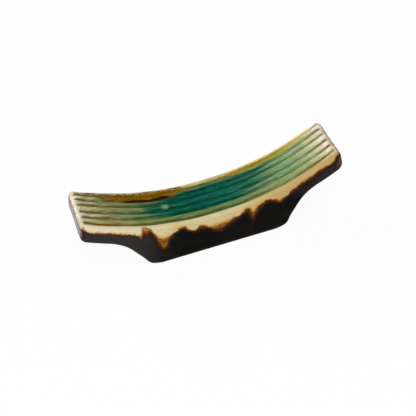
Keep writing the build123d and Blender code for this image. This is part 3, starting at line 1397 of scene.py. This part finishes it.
        # Painted highlight: golden glints broken up along the far rim's edge.
        painted_glint = step(self.y, 5.7, 6.3) * step(self.flecks, 0.46, 0.6)
        self.lay(painted_glint * 0.7, self.PAINTED_RIM_GLINT)

    def cream_rims(self) -> None:
        """Cream on both rims and the walls, with a painted highlight on the far rim towards the right."""
        step = self.graph.step
        mix = self.graph.mix
        cream = mix(step(self.clouds, 0.48, 0.75, 0.0, 0.35), self.row(self.CREAM), self.CREAM_CLOUD)
        # Painted highlight: the far rim's edge is laid paler towards the right, in place of the reflection
        # along it.
        rim_highlight = step(self.y, 5.9, 6.5) * step(self.along, 0.53, 0.7, 0.0, 0.7)
        self.lay(self.rim, mix(rim_highlight, cream, self.PAINTED_RIM_HIGHLIGHT))

    def drips(self) -> None:
        """Straw and honey where the cream has run down the walls."""
        step = self.graph.step
        drip = self.given["Drip"]
        dripping = drip + (self.clouds - 0.5) * step(drip, 0.0, 0.2, 0.0, 0.6)
        self.lay(step(dripping, 0.0, 0.5, 0.0, 0.9), self.STRAW)
        self.lay(step(dripping, 0.35, 0.85), self.honey)

    def fleck_and_burns(self) -> None:
        """Pale fleck in the pool, and burnt glaze along the amber and on the far rim."""
        step = self.graph.step
        self.lay(self.given["Pale"] * step(self.flecks, 0.3, 0.7, 0.3, 0.75), self.PALE_FLECK)
        burnt = self.given["Burn"] + ((self.clouds - 0.5) * 0.6 + self.sway * 0.4)
        char = self.graph.mix(step(burnt, 0.35, 0.75), self.SCORCH, self.CHAR)
        self.lay(step(burnt, 0.2, 0.75, 0.0, 0.95), char)

    def running_border(self) -> None:
        """Brown to gold halo along the border, calmer at both tips."""
        step = self.graph.step
        mix = self.graph.mix
        spread = self.given["Edge"] / step(self.graph.noise(*self.WIDE_CLOUDS), 0.36, 0.64, 0.65, 1.3)
        near = step(spread + (self.clouds - 0.5) * 0.6, -0.2, 1.2)
        rusty = step(self.given["Rust"], 0.1, 0.6, 0.0, 0.6)
        halo = mix(rusty, self.graph.ramp(near, self.HALO), self.RUST)
        halo = mix(step(near, 0.12, 0.42) * step(self.given["Drip"], 0.1, 0.7), halo, self.honey)
        shown = step(near, 1.0, 0.45) * step(self.given["End"], 0.0, 1.0, 1.0, 0.25)
        shown = shown * step(self.x, -34.4, -32.8, 0.3, 1.0)
        calm = self.graph.math("MAXIMUM", step(self.x, 33.7, 32.7, 0.35, 1.0), self.rim)
        self.lay(shown * calm, halo)


class GlazeColour(NodeGroup):
    """Colour of the running glazes, from where each lies and how near its border is."""

    name = "glaze_colour"
    inputs = ("Groove", "Pool", "Amber", "Burn", "Drip", "Pale", "Rust", "End", "Edge")
    outputs = (("Color", "NodeSocketColor"), ("Rim", "NodeSocketFloat"))

    def wire(self, graph: Graph, given: dict[str, Shade]) -> dict[str, Shade]:
        """Build the group.

        Args:
            graph: Graph of the group.
            given: Its inputs, by name.

        Returns:
            What its outputs get, by name.
        """
        layers = GlazeLayers(graph, given)
        layers.streaked_saddle()
        layers.green_glass()
        layers.amber_glass()
        layers.cream_rims()
        layers.drips()
        layers.fleck_and_burns()
        layers.running_border()
        return {"Color": layers.body, "Rim": layers.rim}


class SurfaceRipple(NodeGroup):
    """Fine relief of a fired surface: soft orange peel, and pinholes.

    The scales are clouds and cells per millimetre. PINHOLE holds the distances from the middle of a cell
    between which a pinhole ends, and RARE the noise between which a cell has one.
    """

    name = "surface_ripple"
    inputs = ("Peel", "Pits")
    outputs = (("Height", "NodeSocketFloat"), ("Specks", "NodeSocketFloat"))

    PEEL_SCALE = 0.55
    CELL_SCALE = 0.9
    RARE_SCALE = 0.35
    PINHOLE = (0.16, 0.04)
    RARE = (0.5, 0.62)

    def wire(self, graph: Graph, given: dict[str, Shade]) -> dict[str, Shade]:
        """Build the group.

        Args:
            graph: Graph of the group.
            given: Its inputs, by name.

        Returns:
            What its outputs get, by name.
        """
        cells = graph.node("ShaderNodeTexVoronoi", feature="F1")
        graph.feed(cells.inputs["Vector"], graph.place())
        graph.feed(cells.inputs["Scale"], self.CELL_SCALE)
        rare = graph.step(graph.noise(self.RARE_SCALE, 1.0), *self.RARE)
        pits = graph.step(cells.outputs["Distance"], *self.PINHOLE) * rare
        height = graph.noise(self.PEEL_SCALE) * given["Peel"] - pits * given["Pits"]
        return {"Height": height, "Specks": pits}


@dataclass(frozen=True)
class Finish(ABC):
    """A finish with a material of its own.

    Attributes:
        name: Name of the material.
        slot: Name of the slot that it belongs to; not used.
        relief_depth: Depth of its relief, in millimetres.
    """

    name: str
    slot: str
    relief_depth: float = 0.12

    def material(self) -> bpy.types.Material:
        """The finish's material, built at its first use.

        Returns:
            The material.
        """
        found = bpy.data.materials.get(self.name)
        if found:
            return found
        made = bpy.data.materials.new(self.name)
        made.use_nodes = True
        shader = next(node for node in made.node_tree.nodes if node.type == "BSDF_PRINCIPLED")
        self.wire(Graph(made.node_tree), shader)
        return made

    @abstractmethod
    def wire(self, graph: Graph, shader: bpy.types.Node) -> None:
        """Feed the shader.

        Args:
            graph: Graph of the material.
            shader: Its Principled shader.
        """

    def relief(self, graph: Graph, shader: bpy.types.Node, height: Feed) -> None:
        """Feed a bump from a height.

        Args:
            graph: Graph of the material.
            shader: Its Principled shader.
            height: Height, from 0 to 1.
        """
        bump = graph.node("ShaderNodeBump")
        bump.inputs["Distance"].default_value = self.relief_depth * MM
        graph.feed(bump.inputs["Height"], height)
        graph.feed(shader.inputs["Normal"], bump.outputs["Normal"])


@dataclass(frozen=True)
class RunningGlaze(Finish):
    """Glossy glaze whose colour runs from cream to green and amber.

    Attributes:
        gloss: Roughness of the fired surface.
        dull: Roughness that the mottling adds.
        peel, pits, specks: Strength of the orange peel and the pinholes, and how much these darken.
        coat, coat_roughness: Weight of the clear coat on the saddle, and on rims and pool; its roughness.
        sheen: Strength of the reflection below it.
    """

    gloss: float = 0.16
    dull: float = 0.12
    peel: float = 0.5
    pits: float = 0.4
    specks: float = 0.2
    coat: Span = (0.4, 0.1)
    coat_roughness: float = 0.16
    sheen: float = 0.06

    SPECK = tone(96, 70, 40)

    def wire(self, graph: Graph, shader: bpy.types.Node) -> None:
        """Feed the shader.

        Args:
            graph: Graph of the material.
            shader: Its Principled shader.
        """
        fields = {name: graph.read(name.lower()) for name in GlazeColour.inputs}
        colour = GlazeColour().use(graph, **fields)
        ripple = SurfaceRipple().use(graph, Peel=self.peel, Pits=self.pits)
        specks = Shade(graph, ripple.outputs["Specks"]) * self.specks
        graph.feed(shader.inputs["Base Color"], graph.mix(specks, colour.outputs["Color"], self.SPECK))
        rough = graph.step(graph.noise(0.5, 3.0), 0.3, 0.7, self.gloss, self.gloss + self.dull)
        graph.feed(shader.inputs["Roughness"], rough)
        thin = graph.math("MAXIMUM", colour.outputs["Rim"], fields["Pool"])
        graph.feed(shader.inputs["Coat Weight"], graph.step(thin, 0.0, 1.0, *self.coat))
        shader.inputs["Coat Roughness"].default_value = self.coat_roughness
        shader.inputs["Specular IOR Level"].default_value = self.sheen
        self.relief(graph, shader, ripple.outputs["Height"])


@dataclass(frozen=True)
class IronGlaze(Finish):
    """Dark iron glaze, rusty near the cream and charcoal elsewhere.

    Attributes:
        satin: Lowest and highest roughness.
        peel, pits: Strength of the orange peel and of the pinholes.
        sheen: Strength of its reflection.
    """

    satin: Span = (0.28, 0.42)
    peel: float = 0.8
    pits: float = 0.6
    sheen: float = 0.04

    BLACK = tone(7, 6, 4)
    # Grey of the painted sheen on the iron glaze.
    PAINTED_SHEEN_GREY = tone(52, 47, 45)
    BROWN_CLOUD = tone(32, 20, 14)
    TARNISH = tone(108, 78, 56)
    # Colours of the left end face, partly thin glaze and partly painted sheen.
    DARK_END_GLAZE_SHEEN = tone(146, 118, 116)
    PALE_END_GLAZE_SHEEN = tone(200, 186, 188)
    RUST = colour_row((0.0, 20, 15, 12), (0.6, 44, 20, 10), (1.0, 90, 42, 6))
    HUMP = colour_row((0.1, 64, 28, 14), (0.5, 128, 66, 28), (0.95, 190, 138, 78))

    def charcoal(self, graph: Graph, mottle: Shade) -> Shade:
        """Colour away from the cream: near black, with painted sheen towards both ends, a pale left end
        that is partly thin glaze and partly painted sheen, tarnished at the right.

        Args:
            graph: Graph of the material.
            mottle: Clouds, from 0 to 1.

        Returns:
            The colour.
        """
        x, _, z = graph.axes()
        cloud = graph.noise(0.16)
        drift = cloud - 0.5
        # Painted sheen: the iron glaze is laid lighter grey towards the left end and, more weakly, towards
        # the right, in place of its reflection.
        painted_sheen = graph.step(x, -8.0, -24.0) + graph.step(x, 17.0, 30.0, 0.0, 0.6) + drift
        body = graph.mix(graph.step(painted_sheen, 0.0, 1.1), self.BLACK, self.PAINTED_SHEEN_GREY)
        body = graph.mix(graph.step(mottle, 0.58, 0.74, 0.0, 0.35), body, self.BROWN_CLOUD)
        tarnish = graph.step(x + drift * 3.0, 31.0, 34.0, 0.0, 0.85) * graph.step(z, 13.5, 17.5)
        body = graph.mix(tarnish, body, self.TARNISH)
        # Pale lilac-grey on the left end face: partly thin glaze over the iron, partly painted sheen in
        # place of its reflection.
        patch = graph.noise(0.5, 4.0, 0.65, (1.0, 1.0, 0.5))
        end_glaze_sheen = graph.mix(graph.step(patch, 0.38, 0.62), self.DARK_END_GLAZE_SHEEN, self.PALE_END_GLAZE_SHEEN)
        return graph.mix(graph.read("end") * graph.step(cloud, 0.3, 0.6, 0.6, 0.95), body, end_glaze_sheen)

    def rusty(self, graph: Graph, mottle: Shade, body: Shade) -> Shade:
        """Rust along the border, and the streaked hump in it.

        Args:
            graph: Graph of the material.
            mottle: Clouds, from 0 to 1.
            body: Colour away from the border.

        Returns:
            The colour.
        """
        x, _, z = graph.axes()
        spread = graph.read("edge") / graph.step(graph.noise(0.3), 0.36, 0.64, 0.6, 1.7)
        near = graph.step(spread + (mottle - 0.5) * 0.9, -1.2, 0.1)
        ring = graph.step(near, 0.0, 0.5) * graph.step(x, -24.0, -12.0, 0.3, 1.0)
        body = graph.mix(ring, body, graph.ramp(near, self.RUST))
        curtain = graph.noise(1.1, 4.0, 0.6, (2.2, 1.0, 0.3))
        hump = graph.read("rust") + (curtain - 0.5) * 1.6
        faded = graph.step(z, 10.4, 13.8) + (0.55 - curtain)
        return graph.mix(graph.step(hump, 0.2, 1.0), body, graph.ramp(faded, self.HUMP))

    def wire(self, graph: Graph, shader: bpy.types.Node) -> None:
        """Feed the shader.

        Args:
            graph: Graph of the material.
            shader: Its Principled shader.
        """
        mottle = graph.noise(0.7, 5.0, 0.6)
        colour = self.rusty(graph, mottle, self.charcoal(graph, mottle))
        ripple = SurfaceRipple().use(graph, Peel=self.peel, Pits=self.pits)
        graph.feed(shader.inputs["Base Color"], colour)
        graph.feed(shader.inputs["Roughness"], graph.step(mottle, 0.3, 0.7, *self.satin))
        shader.inputs["Specular IOR Level"].default_value = self.sheen
        self.relief(graph, shader, ripple.outputs["Height"])


@dataclass(frozen=True)
class BareStoneware(Finish):
    """Unglazed clay of the foot: sandy, warm grey-brown, with iron specks.

    Attributes:
        dry: Lowest and highest roughness.
        peel, pits, specks: Strength of the soft relief and the pinholes, and how much these darken.
    """

    relief_depth: float = 0.08
    dry: Span = (0.75, 0.92)
    peel: float = 0.3
    pits: float = 1.0
    specks: float = 0.8

    BROWN_CLAY = tone(134, 112, 90)
    PALE_CLAY = tone(158, 134, 108)
    SAND = tone(92, 72, 56)
    IRON_SPECK = tone(58, 40, 30)

    def wire(self, graph: Graph, shader: bpy.types.Node) -> None:
        """Feed the shader.

        Args:
            graph: Graph of the material.
            shader: Its Principled shader.
        """
        sand = graph.noise(3.2, 4.0, 0.7)
        clay = graph.mix(graph.step(graph.noise(0.2, 3.0), 0.3, 0.7), self.BROWN_CLAY, self.PALE_CLAY)
        clay = graph.mix(graph.step(sand, 0.55, 0.75, 0.0, 0.5), clay, self.SAND)
        ripple = SurfaceRipple().use(graph, Peel=self.peel, Pits=self.pits)
        specks = Shade(graph, ripple.outputs["Specks"]) * self.specks
        graph.feed(shader.inputs["Base Color"], graph.mix(specks, clay, self.IRON_SPECK))
        graph.feed(shader.inputs["Roughness"], graph.step(sand, 0.3, 0.7, *self.dry))
        self.relief(graph, shader, sand + ripple.outputs["Height"])


@dataclass
class Piece(ABC):
    """A piece of the rest that is taken from the fired surface.

    Attributes:
        name: Name of the piece.
        node: CAD node that it stands for.
        finish: Its finish.
    """

    name: str
    node: str
    finish: Finish

    @abstractmethod
    def form(self, surface: Skin) -> Skin:
        """Closed surface of the piece.

        Args:
            surface: Fired surface.

        Returns:
            The surface in millimetres.
        """

    def build(self, surface: Skin) -> bpy.types.Object:
        """Mesh of the piece, riding on the body in place of its node.

        Args:
            surface: Fired surface.

        Returns:
            The piece.
        """
        piece = self.form(surface).to_object(self.name)
        piece.data.materials.append(self.finish.material())
        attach(piece, BODY)
        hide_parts(self.node)
        return piece


@dataclass
class ClayBody(Piece):
    """Fired clay under the coats, bare on the foot, in millimetres.

    Attributes:
        cover: Depth of the clay below the fired surface.
        step: Height over the table of the step under the iron glaze's lower edge.
        covered: Height over the table from which it lies at its full depth.
    """

    cover: float = 0.4
    step: float = 0.06
    covered: float = 0.6

    def form(self, surface: Skin) -> Skin:
        """Closed surface of the clay.

        Args:
            surface: Fired surface.

        Returns:
            The surface in millimetres.
        """
        z = surface.points[:, 2]
        depth = self.cover * (ease(0.0, self.step, z) + ease(self.step, self.covered, z)) / 2
        return Skin(surface.points - surface.normals() * depth[:, None], surface.triangles, {})


@dataclass
class Coat(Piece):
    """A coat of glaze. All its sizes are in millimetres.

    Attributes:
        thickness: Depth of its inner face below the fired surface.
    """

    thickness: float = 0.35

    @abstractmethod
    def extent(self, skin: Skin) -> Array:
        """Value that is positive where the coat lies.

        Args:
            skin: Fired surface.

        Returns:
            Value at each point.
        """

    @abstractmethod
    def lift(self, skin: Skin) -> Array:
        """Height of the coat over the fired surface.

        Args:
            skin: Part of the fired surface that the coat covers.

        Returns:
            Height at each point.
        """

    def form(self, surface: Skin) -> Skin:
        """Closed surface of the coat, as in Piece.form."""
        part = surface.cut(self.extent(surface))
        return part.shell(self.lift(part), np.full(len(part.points), self.thickness))


@dataclass
class IronCoat(Coat):
    """Dark glaze on the walls, ends and underside, down to the wiped foot.

    Attributes:
        sink: Depth of its face below the fired surface.
        overlap: How far it goes on under the cream glaze.
        foot_line: Height over the table where it stops.
        foot_lean, foot_waves: Waves of its lower edge, and how far they shift across the bar.
        thinning, thin_reach: How much thinner it is at that edge, and over what height.
        roll, roll_place, roll_half: Height of the roll above the edge, where it is highest, its half width.
    """

    sink: float = 0.08
    overlap: float = 0.7
    foot_line: float = 0.04
    foot_lean: float = 2.0
    foot_waves: Waves = ((0.015, 7.0, 1.0), (0.01, 2.9, 0.0))
    thinning: float = 0.05
    thin_reach: float = 1.2
    roll: float = 0.05
    roll_place: float = 1.1
    roll_half: float = 0.7

    def extent(self, skin: Skin) -> Array:
        """Value that is positive where the coat lies.

        Args:
            skin: Fired surface.

        Returns:
            Value at each point.
        """
        x, y, z = skin.points.T
        foot = z - self.foot_line - swell(x + self.foot_lean * y, self.foot_waves)
        return np.minimum(self.overlap - skin.fields["edge"], foot)

    def lift(self, skin: Skin) -> Array:
        """Height of the coat over the fired surface.

        Args:
            skin: Part of the fired surface that the coat covers.

        Returns:
            Height at each point.
        """
        z = skin.points[:, 2]
        whole = ease(0.0, self.thin_reach, z - self.foot_line)
        roll = np.exp(-(((z - self.roll_place) / self.roll_half) ** 2))
        return -self.sink - self.thinning * (1 - whole) + self.roll * roll


@dataclass
class CreamCoat(Coat):
    """Cream glaze over the saddle and down the walls, with a thick rolled border.

    Attributes:
        sink: Depth of its face at the border.
        body, rise: How much higher it lies farther in, and over what distance.
        skirt, skirt_slope: How far it goes on below the iron glaze's face, and how steeply it drops there.
        bead, bead_place, bead_half: Height of the roll along the border, its distance in, its half width.
    """

    sink: float = 0.09
    body: float = 0.13
    rise: float = 0.3
    skirt: float = 0.2
    skirt_slope: float = 1.2
    bead: float = 0.04
    bead_place: float = 0.6
    bead_half: float = 0.4

    def extent(self, skin: Skin) -> Array:
        """Value that is positive where the coat lies, as in Coat.extent."""
        return skin.fields["edge"] + self.skirt

    def roll(self, edge: Array) -> Array:
        """Share of the roll's height at a distance in from the border."""
        return np.exp(-(((edge - self.bead_place) / self.bead_half) ** 2))

    def lift(self, skin: Skin) -> Array:
        """Height of the coat over the fired surface.

        Args:
            skin: Part of the fired surface that the coat covers.

        Returns:
            Height at each point.
        """
        edge = skin.fields["edge"]
        inside = edge > 0
        grown = np.where(inside, 1 - np.exp(-np.maximum(edge, 0) / self.rise), edge * self.skirt_slope)
        roll = np.where(inside, self.roll(edge) - self.roll(0.0), 0)
        return -self.sink + self.body * grown + self.bead * roll


@dataclass
class PooledCoat(Coat):
    """A glass that lies over the cream glaze where one of its fields is strong.

    Attributes:
        field_name: Field that says where it lies.
        low, high: Strength at which it starts, and at which it is whole.
        film, fill: Its height over the cream glaze, and what the deepest comb marks add.
        dip: How far its edge lies under the cream glaze.
        margin, inward: How far it stays in from the border, and over what distance it then becomes whole.
        under: Cream coat that it lies on.
    """

    thickness: float = 0.2
    field_name: str = "pool"
    low: float = 0.1
    high: float = 0.7
    film: float = 0.05
    fill: float = 0.0
    dip: float = 0.03
    margin: float = 0.3
    inward: float = 0.6
    under: Optional[CreamCoat] = None

    def extent(self, skin: Skin) -> Array:
        """Value that is positive where the coat lies, as in Coat.extent."""
        return np.minimum(skin.fields[self.field_name] - self.low, skin.fields["edge"] - self.margin)

    def lift(self, skin: Skin) -> Array:
        """Height of the coat over the fired surface.

        Args:
            skin: Part of the fired surface that the coat covers.

        Returns:
            Height at each point.
        """
        inward = ease(self.margin, self.margin + self.inward, skin.fields["edge"])
        share = ease(self.low, self.high, skin.fields[self.field_name]) * inward
        over = share * (self.film + self.fill * skin.fields["groove"]) - self.dip * (1 - share)
        return self.under.lift(skin) + over


@dataclass(frozen=True)
class Lamp:
    """A soft square lamp that faces the rest.

    Attributes:
        name: Name of the lamp.
        place: Where it hangs, in metres.
        size: Its side, in metres.
        power: Its power, in watts.
    """

    name: str
    place: tuple[float, float, float]
    size: float
    power: float

    def build(self) -> None:
        """Hang the lamp."""
        data = bpy.data.lights.new(self.name, "AREA")
        data.shape = "SQUARE"
        data.size = self.size
        data.energy = self.power
        lamp = bpy.data.objects.new(self.name, data)
        lamp.location = self.place
        lamp.rotation_euler = (-Vector(self.place)).to_track_quat("-Z", "Y").to_euler()
        bpy.context.scene.collection.objects.link(lamp)


@dataclass(frozen=True)
class Studio:
    """Floor, light and camera.

    Attributes:
        floor_size, floor_tone: Side of the floor in metres, and its colour where it is lit.
        floor_glow: Share of plain white that the camera sees in it.
        lamps, world: The lamps, and the strength of the even light from all sides.
        azimuth, elevation, roll: Bearing, height and turn of the camera, in degrees.
        aim, distance: Shift of the picture and distance to the origin, in millimetres.
        lens, sensor: Focal length and width of the sensor, in millimetres.
        near: Nearest distance that the camera sees, in metres.
    """

    floor_size: float = 4.0
    floor_tone: Colour = tone(238, 238, 238)
    floor_glow: float = 0.94
    lamps: tuple[Lamp, ...] = (
        Lamp("overhead_light", (0.0, -0.25, 0.56), 0.5, 2.45),
        Lamp("back_left_light", (-0.4, 0.61, 0.44), 0.3, 3.4),
        Lamp("front_fill", (-0.25, -0.6, 0.3), 0.5, 1.8),
    )
    world: float = 0.1
    azimuth: float = -13.34
    elevation: float = 42.58
    roll: float = -7.04
    aim: Span = (0.928, -5.224)
    distance: float = 267.14
    lens: float = 87.22
    sensor: float = 36.0
    near: float = 0.01

    def build(self) -> None:
        """Make the floor, the world, the lamps and the camera."""
        self.floor()
        self.sky()
        for lamp in self.lamps:
            lamp.build()
        self.camera()

    def seen(self, graph: Graph) -> Shade:
        """Whether a ray comes from the camera, a mirror-like surface or glass.

        Args:
            graph: Graph of a material.

        Returns:
            1 for such rays and 0 for others.
        """
        path = graph.node("ShaderNodeLightPath")
        rays = graph.math("MAXIMUM", path.outputs["Is Camera Ray"], path.outputs["Is Glossy Ray"])
        return graph.math("MAXIMUM", rays, path.outputs["Is Transmission Ray"])

    def floor(self) -> None:
        """Pale floor that keeps the shadow of the rest."""
        mesh = bpy.data.meshes.new("floor")
        half = self.floor_size / 2
        corners = [(-half, -half, 0), (half, -half, 0), (half, half, 0), (-half, half, 0)]
        mesh.from_pydata(corners, [], [(0, 1, 2, 3)])
        floor = bpy.data.objects.new("floor", mesh)
        bpy.context.scene.collection.objects.link(floor)
        made = bpy.data.materials.new("pale_floor")
        made.use_nodes = True
        graph = Graph(made.node_tree)
        made.node_tree.nodes.clear()
        paper = graph.node("ShaderNodeBsdfDiffuse")
        paper.inputs["Color"].default_value = self.floor_tone
        glow = graph.node("ShaderNodeEmission")
        blend = graph.node("ShaderNodeMixShader")
        feeds = (self.seen(graph) * self.floor_glow, paper.outputs[0], glow.outputs[0])
        for socket, value in zip(blend.inputs, feeds):
            graph.feed(socket, value)
        out = graph.node("ShaderNodeOutputMaterial")
        graph.feed(out.inputs["Surface"], blend.outputs[0])
        mesh.materials.append(made)

    def sky(self) -> None:
        """Even light from all sides, seen as white."""
        world = bpy.data.worlds.new("studio")
        world.use_nodes = True
        world.node_tree.nodes.clear()
        graph = Graph(world.node_tree)
        path = graph.node("ShaderNodeLightPath")
        strength = graph.node("ShaderNodeMapRange")
        graph.feed(strength.inputs["Value"], path.outputs["Is Camera Ray"])
        graph.feed(strength.inputs["To Min"], self.world)
        graph.feed(strength.inputs["To Max"], 1.0)
        light = graph.node("ShaderNodeBackground")
        graph.feed(light.inputs["Strength"], strength.outputs["Result"])
        out = graph.node("ShaderNodeOutputWorld")
        graph.feed(out.inputs["Surface"], light.outputs[0])
        bpy.context.scene.world = world

    def camera(self) -> None:
        """Camera at the photograph's angle, for a square frame."""
        data = bpy.data.cameras.new("camera")
        data.lens = self.lens
        data.sensor_width = self.sensor
        data.clip_start = self.near
        camera = bpy.data.objects.new("camera", data)
        bearing, height, roll = (math.radians(angle) for angle in (self.azimuth, self.elevation, self.roll))
        right = Vector((math.cos(bearing), math.sin(bearing), 0))
        ahead = Vector((-math.sin(bearing), math.cos(bearing), 0))
        table_up = Vector((0, 0, 1))
        up = ahead * math.sin(height) + table_up * math.cos(height)
        back = table_up * math.sin(height) - ahead * math.cos(height)
        axis_x = right * math.cos(roll) + up * math.sin(roll)
        axis_y = up * math.cos(roll) - right * math.sin(roll)
        spot = (back * self.distance - axis_x * self.aim[0] - axis_y * self.aim[1]) * MM
        turn = Matrix((axis_x, axis_y, back)).transposed().to_4x4()
        camera.matrix_world = Matrix.Translation(spot) @ turn
        bpy.context.scene.collection.objects.link(camera)
        bpy.context.scene.camera = camera


def main() -> None:
    """Build every piece and the studio."""
    low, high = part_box("iron_glaze_coat")
    width = (high.y - low.y) / MM
    surface = BarSurface(SideOutline(), CombMarks(), GlazeBorder(), GlazeFields(), width).build()
    log.info("fired surface: %d triangles", len(surface.triangles))
    cream_finish = RunningGlaze("cream_glaze_fired", "cream_glaze")
    amber_finish = RunningGlaze("amber_glaze_fired", "amber_glaze", gloss=0.12, dull=0.1)
    green_finish = RunningGlaze("green_glaze_fired", "green_glaze", gloss=0.15)
    cream = CreamCoat("cream_glaze", "cream_glaze_coat", cream_finish)
    pieces = (
        ClayBody("clay", "clay_body", BareStoneware("bare_stoneware", "stoneware")),
        IronCoat("iron_glaze", "iron_glaze_coat", IronGlaze("iron_glaze_fired", "iron_glaze")),
        cream,
        PooledCoat(
            "amber_rim", "amber_glaze_rim", amber_finish,
            field_name="amber", low=0.2, fill=0.08, under=cream,
        ),
        PooledCoat(
            "green_pool", "green_glaze_pool", green_finish,
            field_name="pool", film=0.04, fill=0.14, under=cream,
        ),
        PooledCoat(
            "amber_runs", "amber_glaze_runs", amber_finish,
            field_name="run", low=0.04, high=0.95, film=0.06, dip=0.02, margin=0.1, under=cream,
        ),
    )
    for part in pieces:
        piece = part.build(surface)
        log.info("%s: %d triangles", piece.name, len(piece.data.polygons))
    Studio().build()
    bpy.context.scene.view_settings.view_transform = "Standard"


if __name__ == "__main__":
    logging.basicConfig(level=logging.INFO, format="%(name)s: %(message)s")
    main()
